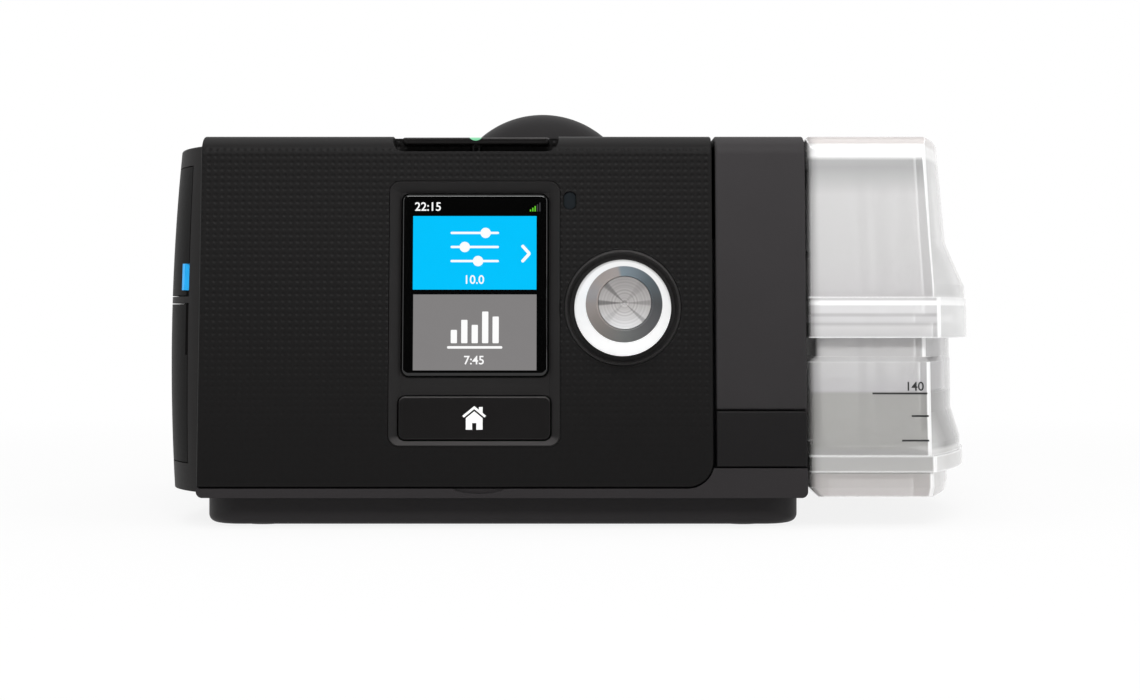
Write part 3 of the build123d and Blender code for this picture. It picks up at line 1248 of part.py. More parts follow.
COVER_INNER_Y = BODY_BACK + COVER_STAND
with BuildPart() as filter_cover:
    block(
        (FILTER_HINGE_X, FILTER_RIGHT + COVER_MARGIN),
        (COVER_INNER_Y, COVER_INNER_Y + COVER_THICK),
        (FILTER_LOW, FILTER_HIGH),
    )
    fillet(filter_cover.edges().filter_by(Axis.Y).sort_by(Axis.X)[-2:], COVER_MARGIN)
    with Locations((FILTER_X, COVER_INNER_Y, FILTER_Z)):
        for step in range(SLOT_COUNT):
            with Locations((0, 0, (step - (SLOT_COUNT - 1) / 2) * SLOT_PITCH)):
                Box(SLOT_WIDTH, COVER_THICK * 3, SLOT_HEIGHT, mode=Mode.SUBTRACT)
    pin(FILTER_HINGE_X, FILTER_HINGE_Y, FILTER_LOW, LUG_RADIUS, FILTER_HIGH - FILTER_LOW, (0, 0, 1))
    pin(FILTER_HINGE_X, FILTER_HINGE_Y, FILTER_LOW, PIN_RADIUS + PIN_SLIP, FAR, (0, 0, 1), Mode.SUBTRACT)
filter_cover.part.label = "filter_cover"
export_step(filter_cover.part, "parts/filter_cover.step")

with BuildPart() as filter_cover_pin:
    pin(FILTER_HINGE_X, FILTER_HINGE_Y, FILTER_LOW - SEAM - LUG_LENGTH, PIN_RADIUS,
        FILTER_HIGH - FILTER_LOW + 2 * SEAM + 2 * LUG_LENGTH, (0, 0, 1))
filter_cover_pin.part.label = "filter_cover_pin"
export_step(filter_cover_pin.part, "parts/filter_cover_pin.step")

# ---- Power inlet -----------------------------------------------------------------------------
POWER_MOUTH_Y = BODY_BACK + POWER_STAND
POWER_INNER_Y = POWER_MOUTH_Y - POWER_LENGTH
with BuildPart() as power_socket:
    pin(POWER_X, POWER_INNER_Y, POWER_Z, POWER_BODY, POWER_LENGTH, (0, 1, 0))
    pin(POWER_X, POWER_INNER_Y + POWER_FLOOR, POWER_Z, POWER_BORE, FAR, (0, 1, 0), Mode.SUBTRACT)
    pin(POWER_X, POWER_MOUTH_Y - POWER_MOUTH_DEPTH, POWER_Z, POWER_MOUTH, FAR, (0, 1, 0), Mode.SUBTRACT)
power_socket.part.label = "power_socket"
export_step(power_socket.part, "parts/power_socket.step")

with BuildPart() as power_contacts:
    for step in (-1, 0, 1):
        pin(POWER_X + step * CONTACT_PITCH, POWER_INNER_Y + POWER_FLOOR, POWER_Z, CONTACT_RADIUS, CONTACT_LENGTH,
            (0, 1, 0))
power_contacts.part.label = "power_contacts"
export_step(power_contacts.part, "parts/power_contacts.step")

with BuildPart() as retention_clip:
    for side in (-1, 1):
        x = POWER_X + side * (CLIP_GAP + CLIP_LEG) / 2
        block(
            (x - CLIP_LEG / 2, x + CLIP_LEG / 2),
            (CLIP_Y - CLIP_THICK / 2, CLIP_Y + CLIP_THICK / 2),
            (CLIP_Z - CLIP_REACH, CLIP_Z),
        )
        pin(x - CLIP_LEG / 2, CLIP_Y, CLIP_Z, CLIP_BARREL, CLIP_LEG, (1, 0, 0))
    block(
        (POWER_X - CLIP_GAP / 2, POWER_X + CLIP_GAP / 2),
        (CLIP_Y - CLIP_THICK / 2, CLIP_Y + CLIP_THICK / 2),
        (CLIP_Z - CLIP_BAR_DROP - CLIP_BAR, CLIP_Z - CLIP_BAR_DROP),
    )
    pin(POWER_X - CLIP_HALF, CLIP_Y, CLIP_Z, PIN_RADIUS + PIN_SLIP, CLIP_HALF * 2, (1, 0, 0), Mode.SUBTRACT)
retention_clip.part.label = "retention_clip"
export_step(retention_clip.part, "parts/retention_clip.step")

with BuildPart() as retention_clip_pin:
    pin(POWER_X - CLIP_HALF, CLIP_Y, CLIP_Z, PIN_RADIUS, CLIP_HALF * 2, (1, 0, 0))
retention_clip_pin.part.label = "retention_clip_pin"
export_step(retention_clip_pin.part, "parts/retention_clip_pin.step")

# ---- Plinth ----------------------------------------------------------------------------------
PLINTH_X = (PLINTH_LEFT, PLINTH_RIGHT)
PLINTH_Y = (FRONT_Y + PLINTH_FRONT, FRONT_Y + PLINTH_BACK)
FOOT_SPOTS = [
    (x, y)
    for x in (PLINTH_LEFT + FOOT_INSET_X, PLINTH_RIGHT - FOOT_INSET_X)
    for y in (PLINTH_Y[0] + FOOT_INSET_Y, PLINTH_Y[1] - FOOT_INSET_Y)
]
with BuildPart() as base_plinth:
    block(PLINTH_X, PLINTH_Y, (PLINTH_BOTTOM, BODY_BOTTOM))
    fillet(base_plinth.edges().filter_by(Axis.Z), PLINTH_CORNER)
    fillet(base_plinth.faces().sort_by(Axis.Z)[0].edges(), PLINTH_EDGE)
    with BuildSketch(Plane.XY.offset(PLINTH_BOTTOM + PLINTH_SKIN)):
        with Locations((sum(PLINTH_X) / 2, sum(PLINTH_Y) / 2)):
            RectangleRounded(
                PLINTH_RIGHT - PLINTH_LEFT - 2 * PLINTH_SKIN,
                PLINTH_BACK - PLINTH_FRONT - 2 * PLINTH_SKIN,
                PLINTH_CORNER - PLINTH_SKIN,
            )
    extrude(amount=FAR, mode=Mode.SUBTRACT)
    for x, y in SCREW_SPOTS:
        pin(x, y, PLINTH_BOTTOM, BOSS_RADIUS, BODY_BOTTOM - PLINTH_BOTTOM, (0, 0, 1))
        pin(x, y, PLINTH_BOTTOM, SCREW_RADIUS + SCREW_SLIP, FAR, (0, 0, 1), Mode.SUBTRACT)
        pin(x, y, PLINTH_BOTTOM, SCREW_HEAD_RADIUS + SCREW_SLIP, PLINTH_SKIN, (0, 0, 1), Mode.SUBTRACT)
    for x, y in FOOT_SPOTS:
        pin(x, y, PLINTH_BOTTOM, FOOT_RADIUS + PIN_SLIP, FOOT_SINK, (0, 0, 1), Mode.SUBTRACT)
base_plinth.part.label = "base_plinth"
export_step(base_plinth.part, "parts/base_plinth.step")

with BuildPart() as rubber_feet:
    for x, y in FOOT_SPOTS:
        pin(x, y, 0, FOOT_RADIUS, PLINTH_BOTTOM + FOOT_SINK, (0, 0, 1))
rubber_feet.part.label = "rubber_feet"
export_step(rubber_feet.part, "parts/rubber_feet.step")

SCREW_SEAT = PLINTH_BOTTOM + PLINTH_SKIN
with BuildPart() as base_screws:
    for x, y in SCREW_SPOTS:
        pin(x, y, SCREW_SEAT - SCREW_HEAD, SCREW_HEAD_RADIUS, SCREW_HEAD, (0, 0, 1))
        pin(x, y, SCREW_SEAT, SCREW_RADIUS, CASE_FLOOR - SCREW_SEAT, (0, 0, 1))
base_screws.part.label = "base_screws"
export_step(base_screws.part, "parts/base_screws.step")

# ---- Tub -------------------------------------------------------------------------------------
def tub_side(z, bulge, inset=0.0, stand=0.0, left_inset=None):
    """Plan of the tub's part outside the body: leaning front, right side bulging out."""
    front = FRONT_Y + TUB_FRONT + lean_at(z) + inset - stand
    back = FRONT_Y + TUB_BACK - inset
    left = TUB_LEFT + (inset if left_inset is None else left_inset)
    lean_in = LID_DRAFT * max(z - RIM_TOP, 0) / (LID_TOP - RIM_TOP)
    corner = TUB_CORNER - inset + stand - lean_in
    with BuildSketch(Plane.XY.offset(z)) as plan:
        with BuildLine():
            Polyline((corner, back), (left, back), (left, front), (corner, front))
            ThreePointArc((corner, front), (corner + bulge - stand, (front + back) / 2), (corner, back))
        make_face()
        fillet(plan.vertices(), TUB_CORNER_RADIUS)
    return plan.sketch


def tub_stack(levels, inset=0.0, stand=0.0, mode=Mode.ADD, left_inset=None):
    """Tub part outside the body, through a list of heights and side bulges."""
    for pair in zip(levels, levels[1:]):
        sections = [tub_side(z, bulge, inset, stand, left_inset) for z, bulge in pair]
        loft(sections, ruled=True, mode=mode)


def tub_front_round():
    """Rounds the front top edge of the tub, along its whole length."""
    with BuildSketch(Plane.YZ) as side:
        with BuildLine():
            Polyline(
                (FRONT_Y + TUB_FRONT, 0),
                (FRONT_Y + TUB_FRONT + lean_at(LID_TOP), LID_TOP),
                (FAR, LID_TOP),
                (FAR, 0),
                close=True,
            )
        make_face()
        fillet(side.vertices().group_by(Axis.Y)[-1].sort_by(Axis.X)[0], TUB_TOP_RADIUS)
    extrude(side.sketch, amount=FAR, mode=Mode.INTERSECT)


def tub_inner(low, high, inset, right, mode=Mode.ADD):
    """Tub part inside the bay."""
    block(
        (TUB_INNER_LEFT + inset, right),
        (BAY_Y[0] + TUB_SLIP + inset, BAY_Y[1] - TUB_SLIP - inset),
        (low, high),
        mode,
    )


TUB_BOTTOM = HEATER_TOP + SEAL_GAP
LEDGE_Z = NECK_TOP + GASKET_THICK
LID_HOLLOW = LEDGE_Z + LID_LEDGE
NECK_START = NECK_BOTTOM + NECK_BEVEL
INSIDE = NECK_IN + TUB_SKIN
JOIN = TUB_LEFT + INSIDE + WALL
LID_LEVELS = [
    (LID_HOLLOW, RIM_BULGE),
    (WING_BOTTOM, RIM_BULGE),
    (WING_TOP, BLOCK_BULGE),
]

with BuildPart() as tub_lid:
    tub_stack([*LID_LEVELS, (LID_TOP, LID_TOP_BULGE)])
    fillet(tub_lid.faces().sort_by(Axis.Z)[-1].edges(), TUB_EDGE_RADIUS)
    tub_front_round()
    tub_stack([(RIM_BOTTOM, RIM_BULGE), (RIM_TOP, RIM_BULGE)], stand=RIM_STAND)
    tub_inner(RIM_BOTTOM, INNER_LID_TOP, 0, JOIN)
    # Skirt that drops over the neck of the base.
    tub_stack([(RIM_BOTTOM, RIM_BULGE), (LEDGE_Z, RIM_BULGE)], RIM_SKIN, RIM_STAND, Mode.SUBTRACT)
    tub_inner(RIM_BOTTOM, LEDGE_Z, RIM_SKIN, JOIN, Mode.SUBTRACT)
    # Ledge that presses on the gasket.
    tub_stack([(LEDGE_Z, NECK_BULGE), (LID_HOLLOW, NECK_BULGE)], INSIDE, 0, Mode.SUBTRACT)
    tub_inner(LEDGE_Z, LID_HOLLOW, INSIDE, JOIN, Mode.SUBTRACT)
    # Hollow of the lid, open to the base below.
    tub_stack([*LID_LEVELS, (LID_TOP - TUB_SKIN, LID_TOP_BULGE)], TUB_SKIN, 0, Mode.SUBTRACT)
    tub_inner(LID_HOLLOW, INNER_LID_TOP - TUB_SKIN, TUB_SKIN, JOIN, Mode.SUBTRACT)
    for y in (INLET_PORT_Y, OUTLET_Y):
        pin(TUB_INNER_LEFT - WALL, y, PORT_Z_TUB, PORT_BORE, WALL * 2, (1, 0, 0), Mode.SUBTRACT)
tub_lid.part.label = "tub_lid"
export_step(tub_lid.part, "parts/tub_lid.step")

with BuildPart() as tub_base:
    tub_stack([(FLANGE_BOTTOM, FLANGE_BULGE), (FLANGE_TOP, FLANGE_BULGE)])
    tub_stack(
        [(FLANGE_TOP, LOW_WING_BULGE), (LOW_WING_BOTTOM, LOW_WING_BULGE), (LOW_WING_TOP, BASE_BULGE),
         (NECK_BOTTOM, BASE_BULGE)],
        BASE_IN,
        left_inset=0,
    )
    loft(
        [
            tub_side(NECK_BOTTOM, BASE_BULGE, BASE_IN, left_inset=0),
            tub_side(NECK_START, NECK_BULGE, NECK_IN),
        ],
        ruled=True,
    )
    tub_stack([(NECK_START, NECK_BULGE), (NECK_TOP, NECK_BULGE)], NECK_IN)
    tub_inner(TUB_BOTTOM, NECK_TOP, NECK_IN, JOIN - WALL)
    block((TUB_LEFT, JOIN), (-FAR, FAR), (-FAR, FLANGE_BOTTOM), Mode.SUBTRACT)
    # Water space.
    tub_stack([(FLANGE_TOP + TUB_SKIN, BASE_BULGE), (NECK_BOTTOM, BASE_BULGE)], BASE_IN + TUB_SKIN, 0, Mode.SUBTRACT)
    tub_stack([(NECK_BOTTOM, NECK_BULGE), (NECK_TOP, NECK_BULGE)], INSIDE, 0, Mode.SUBTRACT)
    tub_inner(TUB_FLOOR, NECK_TOP, INSIDE, TUB_LEFT - TUB_SKIN, Mode.SUBTRACT)
    tub_inner(FLANGE_TOP + TUB_SKIN, NECK_TOP, INSIDE, JOIN, Mode.SUBTRACT)
    # Seat and window of the metal plate.
    with Locations((HEATER_X, HEATER_Y, TUB_BOTTOM + PLATE_THICK / 2)):
        Box(PLATE_SIZE + 2 * SLIP, PLATE_SIZE + 2 * SLIP, PLATE_THICK, mode=Mode.SUBTRACT)
    with Locations((HEATER_X, HEATER_Y, TUB_FLOOR)):
        Box(PLATE_WINDOW, PLATE_WINDOW, 2 * (TUB_FLOOR - TUB_BOTTOM), mode=Mode.SUBTRACT)
tub_base.part.label = "tub_base"
export_step(tub_base.part, "parts/tub_base.step")

with BuildPart() as tub_gasket:
    tub_stack([(NECK_TOP, NECK_BULGE), (LEDGE_Z, NECK_BULGE)], NECK_IN)
    tub_inner(NECK_TOP, LEDGE_Z, NECK_IN, JOIN - WALL)
    tub_stack([(NECK_TOP, NECK_BULGE), (LEDGE_Z, NECK_BULGE)], INSIDE, 0, Mode.SUBTRACT)
    tub_inner(NECK_TOP, LEDGE_Z, INSIDE, JOIN, Mode.SUBTRACT)
tub_gasket.part.label = "tub_gasket"
export_step(tub_gasket.part, "parts/tub_gasket.step")

with BuildPart() as tub_plate:
    with Locations((HEATER_X, HEATER_Y, TUB_BOTTOM + PLATE_THICK / 2)):
        Box(PLATE_SIZE, PLATE_SIZE, PLATE_THICK)
tub_plate.part.label = "tub_plate"
export_step(tub_plate.part, "parts/tub_plate.step")

with BuildPart() as tub_foot_skirt:
    loft(
        [
            tub_side(SKIRT_BOTTOM, SKIRT_BULGE, SKIRT_IN + SKIRT_DRAFT, left_inset=SKIRT_CHAMFER),
            tub_side(SKIRT_BOTTOM + SKIRT_CHAMFER, SKIRT_BULGE, SKIRT_IN, left_inset=0),
        ],
        ruled=True,
    )
    tub_stack(
        [(SKIRT_BOTTOM + SKIRT_CHAMFER, SKIRT_BULGE), (FLANGE_BOTTOM, SKIRT_BULGE)],
        SKIRT_IN,
        left_inset=0,
    )
    tub_stack(
        [(SKIRT_BOTTOM, SKIRT_BULGE), (FLANGE_BOTTOM - TUB_SKIN, SKIRT_BULGE)],
        SKIRT_IN + SKIRT_CHAMFER + TUB_SKIN,
        0,
        Mode.SUBTRACT,
    )
tub_foot_skirt.part.label = "tub_foot_skirt"
export_step(tub_foot_skirt.part, "parts/tub_foot_skirt.step")
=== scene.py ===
import json
import math

import bmesh
import bpy
from mathutils import Matrix, Vector


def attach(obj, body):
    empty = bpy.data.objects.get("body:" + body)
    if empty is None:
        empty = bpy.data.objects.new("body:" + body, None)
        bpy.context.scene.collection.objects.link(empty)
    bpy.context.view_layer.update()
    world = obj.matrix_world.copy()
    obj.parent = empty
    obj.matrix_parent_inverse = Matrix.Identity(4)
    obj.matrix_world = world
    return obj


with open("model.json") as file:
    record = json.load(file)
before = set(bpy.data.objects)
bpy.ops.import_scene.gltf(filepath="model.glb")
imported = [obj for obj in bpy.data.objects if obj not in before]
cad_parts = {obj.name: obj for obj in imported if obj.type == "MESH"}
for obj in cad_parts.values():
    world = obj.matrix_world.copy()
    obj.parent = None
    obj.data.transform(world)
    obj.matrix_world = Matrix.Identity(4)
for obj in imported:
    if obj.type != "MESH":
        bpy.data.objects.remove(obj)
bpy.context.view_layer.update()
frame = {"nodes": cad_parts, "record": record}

# Bedside breathing machine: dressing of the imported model. Metres, X right, Y back, Z up.

NODES = frame["nodes"]
MM = 0.001

# ---- The leaning front face, in millimetres ----------------------------------------------------
FRONT_Y = -64.3               # foot of the face
FACE_FOOT = 7.5               # height of that foot above the table
LEAN = math.radians(4.24)
DIAL_X = 10.68
DIAL_Z = 52.75
# Local X along the face, local Y up the face, local Z out of it.
ON_FACE = Matrix((
    (1, 0, 0, 0),
    (0, math.sin(LEAN), -math.cos(LEAN), FRONT_Y),
    (0, math.cos(LEAN), math.sin(LEAN), FACE_FOOT),
    (0, 0, 0, 1),
))


def up_face(z):
    """Distance up the leaning face of a height above the table."""
    return (z - FACE_FOOT) / math.cos(LEAN)


# ---- Colours and nodes -------------------------------------------------------------------------
WHITE = (1, 1, 1, 1)
SHARE_UNIT = 100              # millimetres that the shares of height and width below are taken of


def colour(code):
    """sRGB hex to linear, with alpha 1."""
    parts = [int(code[i:i + 2], 16) / 255 for i in (1, 3, 5)]
    return [c / 12.92 if c <= 0.04045 else ((c + 0.055) / 1.055) ** 2.4 for c in parts] + [1.0]


def scaled(linear, factor):
    """Linear colour made darker or lighter by a factor."""
    return [c * factor for c in linear[:3]] + [1.0]


def add_node(tree, kind, inputs=None, **settings):
    """Adds a node, with its settings, and its inputs linked or set."""
    node = tree.nodes.new(kind)
    for name, value in settings.items():
        setattr(node, name, value)
    for name, value in (inputs or {}).items():
        if isinstance(value, bpy.types.NodeSocket):
            tree.links.new(value, node.inputs[name])
        else:
            node.inputs[name].default_value = value
    return node


def new_material(name):
    """Empty material: (material, tree, surface input of its output)."""
    made = bpy.data.materials.new(name)
    made.use_nodes = True
    tree = made.node_tree
    tree.nodes.clear()
    output = add_node(tree, "ShaderNodeOutputMaterial")
    return made, tree, output.inputs["Surface"]


def grain(tree, size_mm, detail=2.0):
    """Fine random grain, in object space."""
    where = add_node(tree, "ShaderNodeTexCoord").outputs["Object"]
    return add_node(tree, "ShaderNodeTexNoise", {
        "Vector": where, "Scale": 1 / (size_mm * MM), "Detail": detail,
    }).outputs["Fac"]


def ramp(tree, value, stops):
    """Colour that changes through (position, sRGB hex) stops as a value goes from 0 to 1."""
    node = add_node(tree, "ShaderNodeValToRGB", {"Fac": value})
    marks = node.color_ramp.elements
    while len(marks) < len(stops):
        marks.new(1.0)
    for mark, (position, code) in zip(marks, stops):
        mark.position = position
        mark.color = colour(code)
    return node.outputs["Color"]


def share_of_height(tree):
    """Height above the table as a share of 100 mm."""
    where = add_node(tree, "ShaderNodeTexCoord").outputs["Object"]
    height = add_node(tree, "ShaderNodeSeparateXYZ", {0: where}).outputs["Z"]
    return add_node(tree, "ShaderNodeMath", {0: height, 1: SHARE_UNIT * MM}, operation="DIVIDE").outputs[0]


def facing(tree, axis, start, end, low=0.0, high=1.0):
    """Value that goes from low to high as the surface turns to face along an axis."""
    normal = add_node(tree, "ShaderNodeNewGeometry").outputs["Normal"]
    part = add_node(tree, "ShaderNodeSeparateXYZ", {0: normal}).outputs[axis]
    return add_node(tree, "ShaderNodeMapRange", {
        "Value": part, "From Min": start, "From Max": end, "To Min": low, "To Max": high,
    }).outputs[0]


# ---- Opaque plastics and metals ----------------------------------------------------------------
def dial_radius(tree):
    """Distance from the dial's axis, and the flat vector out from it, in object space."""
    where = add_node(tree, "ShaderNodeTexCoord").outputs["Object"]
    local = add_node(tree, "ShaderNodeMapping", {
        "Vector": where, "Location": ON_FACE @ Vector((DIAL_X, up_face(DIAL_Z), 0)) * MM,
        "Rotation": (math.pi / 2 - LEAN, 0, 0),
    }, vector_type="TEXTURE")
    flat = add_node(tree, "ShaderNodeVectorMath", {0: local.outputs[0], 1: (1, 1, 0)}, operation="MULTIPLY")
    reach = add_node(tree, "ShaderNodeVectorMath", {0: flat.outputs[0]}, operation="LENGTH")
    return reach.outputs["Value"], flat.outputs[0]


# Ring round the dial, by distance from the dial's axis in millimetres: where its flat ends, where its rim
# starts, and where the ring ends. Its flat is painted paler between two distances above the axis: painted
# light.
RING_FLAT_END = 13.85
RING_RIM_START = 14.0
RING_END = 15.2
RING_BLEND = 0.1
RING_CROWN = (3, 13)


def dial_ring_painted_light(tree, flat, rim, around):
    """Factor on the colour, which paints light and shade round the dial: of the ring's flat, doubled towards
    its top, of its rim, and of what is around.
    """
    radius, out = dial_radius(tree)
    crown = add_node(tree, "ShaderNodeMapRange", {
        "Value": add_node(tree, "ShaderNodeSeparateXYZ", {0: out}).outputs["Y"],
        "From Min": RING_CROWN[0] * MM, "From Max": RING_CROWN[1] * MM, "To Min": flat, "To Max": flat * 2,
    }).outputs[0]
    ring = add_node(tree, "ShaderNodeMapRange", {
        "Value": radius, "From Min": RING_FLAT_END * MM, "From Max": RING_RIM_START * MM,
        "To Min": crown, "To Max": rim,
    }).outputs[0]
    return add_node(tree, "ShaderNodeMapRange", {
        "Value": radius, "From Min": RING_END * MM, "From Max": (RING_END + RING_BLEND) * MM,
        "To Min": ring, "To Max": around,
    }).outputs[0]


def moulded(name, code, roughness, grain_mm=0.6, depth_mm=0.02, shade=0.12, specular=0.5, fall=None,
            upper=None, dial_ring=None):
    """Moulded plastic with a fine etched grain and a slow drift of its shade.

    The etched grain of such plastic is about 0.1 mm; it is drawn coarser, so that it shows. The colour can
    be multiplied by a ramp on the height (fall), which paints shade by height and on the cover also a darker
    foot; faces that look up can be painted lighter, as painted light (upper); and the ring round the dial can
    get painted light on its flat and painted shade on its rim (dial_ring: factors for its flat and its rim).
    """
    made, tree, surface = new_material(name)
    fine = grain(tree, grain_mm)
    slow = grain(tree, 14.0, 3.0)
    plain = colour(code)
    tint = add_node(tree, "ShaderNodeMix", {
        0: slow, 6: scaled(plain, 1 - shade), 7: scaled(plain, 1 + shade),
    }, data_type="RGBA").outputs[2]
    rough = add_node(tree, "ShaderNodeMapRange", {
        "Value": fine, "To Min": roughness - 0.05, "To Max": roughness + 0.05,
    }).outputs[0]
    # Painted shade by height, and on the cover also a darker foot.
    if fall:
        tint = add_node(tree, "ShaderNodeMix", {
            0: 1.0, 6: tint, 7: ramp(tree, share_of_height(tree), fall),
        }, data_type="RGBA", blend_type="MULTIPLY").outputs[2]
    # Painted light: faces that look up are painted lighter; round the dial, the ring gets painted light and
    # shade.
    if upper:
        painted_light = facing(tree, "Z", 0.15, 0.45, 1.0, upper)
        if dial_ring:
            painted_light = dial_ring_painted_light(tree, *dial_ring, painted_light)
        tint = add_node(tree, "ShaderNodeVectorMath", {0: tint, "Scale": painted_light}, operation="SCALE").outputs[0]
    bump = add_node(tree, "ShaderNodeBump", {"Height": fine, "Distance": depth_mm * MM, "Strength": 1.0})
    shader = add_node(tree, "ShaderNodeBsdfPrincipled", {
        "Base Color": tint, "Roughness": rough, "Normal": bump.outputs[0], "Specular IOR Level": specular,
    })
    tree.links.new(shader.outputs[0], surface)
    return made


def metal(name, code, roughness, grain_mm=0.4, depth_mm=0.004):
    """Bare metal with fine tool marks, drawn coarser than real ones, so that they show."""
    made, tree, surface = new_material(name)
    fine = grain(tree, grain_mm)
    rough = add_node(tree, "ShaderNodeMapRange", {
        "Value": fine, "To Min": roughness * 0.8, "To Max": roughness * 1.2,
    }).outputs[0]
    bump = add_node(tree, "ShaderNodeBump", {"Height": fine, "Distance": depth_mm * MM, "Strength": 1.0})
    shader = add_node(tree, "ShaderNodeBsdfPrincipled", {
        "Base Color": colour(code), "Metallic": 1.0, "Roughness": rough, "Normal": bump.outputs[0],
    })
    tree.links.new(shader.outputs[0], surface)
    return made


def lit(name, code):
    """Lit panel or light pipe behind a polished front."""
    made, tree, surface = new_material(name)
    glow = add_node(tree, "ShaderNodeMix", {
        0: grain(tree, 3.0), 6: scaled(colour(code), 0.97), 7: colour(code),
    }, data_type="RGBA").outputs[2]
    shader = add_node(tree, "ShaderNodeBsdfPrincipled", {
        "Base Color": colour("#020202"), "Roughness": 0.08, "Emission Color": glow, "Emission Strength": 1.0,
    })
    tree.links.new(shader.outputs[0], surface)
    return made


# Fascia: ABS moulded against an etched tool. Square grid of shallow dimples, dark upper side and light lower
# side; they fade out towards the foot of the face.
DIMPLE_PITCH = (1.66, 1.58)   # across and up, in millimetres
DIMPLE_BOWL = (0.05, 0.44)    # as a share of the pitch: flat middle, and where the bowl ends
DIMPLE_DEPTH = 0.14
DIMPLE_FADE = (12, 62)        # heights where they are faintest and where they are full
# Painted shade: this ramp makes the fascia's colour darker towards its foot.
FASCIA_FALL = ((0.12, "#d8d8d8"), (0.75, "#ffffff"))


def dimpled_abs():
    """Black plastic of the fascia."""
    made, tree, surface = new_material("Dimpled_Black_ABS")
    where = add_node(tree, "ShaderNodeTexCoord").outputs["Object"]
    cell = add_node(tree, "ShaderNodeVectorMath", {
        0: where, 1: (1 / (DIMPLE_PITCH[0] * MM), 1.0, 1 / (DIMPLE_PITCH[1] * MM)),
    }, operation="MULTIPLY")
    part = add_node(tree, "ShaderNodeVectorMath", {0: cell.outputs[0]}, operation="FRACTION")
    middle = add_node(tree, "ShaderNodeVectorMath", {
        0: part.outputs[0], 1: (0.5, 0.0, 0.5),
    }, operation="SUBTRACT")
    flat = add_node(tree, "ShaderNodeVectorMath", {
        0: middle.outputs[0], 1: (1.0, 0.0, 1.0),
    }, operation="MULTIPLY")
    reach = add_node(tree, "ShaderNodeVectorMath", {0: flat.outputs[0]}, operation="LENGTH")
    bowl = add_node(tree, "ShaderNodeMapRange", {
        "Value": reach.outputs["Value"], "From Min": DIMPLE_BOWL[0], "From Max": DIMPLE_BOWL[1],
    }, interpolation_type="SMOOTHSTEP").outputs[0]
    height = add_node(tree, "ShaderNodeSeparateXYZ", {0: where}).outputs["Z"]
    fade = add_node(tree, "ShaderNodeMapRange", {
        "Value": height, "From Min": DIMPLE_FADE[0] * MM, "From Max": DIMPLE_FADE[1] * MM,
        "To Min": 0.12, "To Max": 1.0,
    })
    front = facing(tree, "Y", -0.9, -0.985)
    weight = add_node(tree, "ShaderNodeMath", {0: fade.outputs[0], 1: front}, operation="MULTIPLY").outputs[0]
    texture = add_node(tree, "ShaderNodeBump", {
        "Height": grain(tree, 0.5), "Distance": 0.012 * MM, "Strength": 1.0,
    })
    dimples = add_node(tree, "ShaderNodeBump", {
        "Height": bowl, "Distance": DIMPLE_DEPTH * MM, "Strength": weight, "Normal": texture.outputs[0],
    })
    # Painted shade: the pits of the dimples are painted darker, and this fades out with the dimples.
    pit = add_node(tree, "ShaderNodeMath", {0: bowl, 1: 1.0}, operation="SUBTRACT")
    painted_pit_shade = add_node(tree, "ShaderNodeMath", {0: pit.outputs[0], 1: weight}, operation="MULTIPLY")
    shade = add_node(tree, "ShaderNodeMath", {0: painted_pit_shade.outputs[0], 1: 0.45, 2: 1.0}, operation="MULTIPLY_ADD")
    tint = add_node(tree, "ShaderNodeMix", {
        0: shade.outputs[0], 6: colour("#0b0a0a"), 7: colour("#171616"),
    }, data_type="RGBA")
    # Painted shade: darker towards the foot.
    tint = add_node(tree, "ShaderNodeMix", {
        0: 1.0, 6: tint.outputs[2], 7: ramp(tree, share_of_height(tree), FASCIA_FALL),
    }, data_type="RGBA", blend_type="MULTIPLY")
    shader = add_node(tree, "ShaderNodeBsdfPrincipled", {
        "Base Color": tint.outputs[2], "Roughness": 0.45, "Normal": dimples.outputs[0],
        "Specular IOR Level": 0.1,
    })
    tree.links.new(shader.outputs[0], surface)
    return made


# ---- The dial ----------------------------------------------------------------------------------
# Dial insert: aluminium faced on a lathe. Fine turned rings; a painted sheen runs from grey at the top to
# bright at the foot, and narrow dark glints are painted on like spokes: painted reflection. Each spoke:
# direction, half width in degrees, depth.
SPOKES = (
    (180, 7.0, 0.60), (136, 7.5, 0.50), (0, 7.0, 0.34),
    (-43, 5.5, 0.42), (46, 12.0, 0.16), (-136, 9.0, 0.16),
)
RING_PITCH = 0.62             # millimetres from one turned ring to the next
INSERT_SHEEN = ((0.0, "#c2c2c3"), (0.45, "#a9a6a5"), (1.0, "#8e8b8a"))
INSERT_REACH = 6              # millimetres from the axis over which the sheen runs


def insert_painted_glints(tree, out):
    """How much darker the painted dark glints, the spokes, are: painted reflection."""
    unit = add_node(tree, "ShaderNodeVectorMath", {0: out}, operation="NORMALIZE").outputs[0]
    dark = 0.0
    for angle, spread, depth in SPOKES:
        line = (math.cos(math.radians(angle)), math.sin(math.radians(angle)), 0)
        along = add_node(tree, "ShaderNodeVectorMath", {0: unit, 1: line}, operation="DOT_PRODUCT")
        spoke = add_node(tree, "ShaderNodeMapRange", {
            "Value": along.outputs["Value"], "From Min": math.cos(math.radians(spread * 1.2)),
            "From Max": math.cos(math.radians(spread * 0.1)), "To Max": depth,
        }, interpolation_type="SMOOTHSTEP").outputs[0]
        dark = add_node(tree, "ShaderNodeMath", {0: dark, 1: spoke}, operation="MAXIMUM").outputs[0]
    return dark


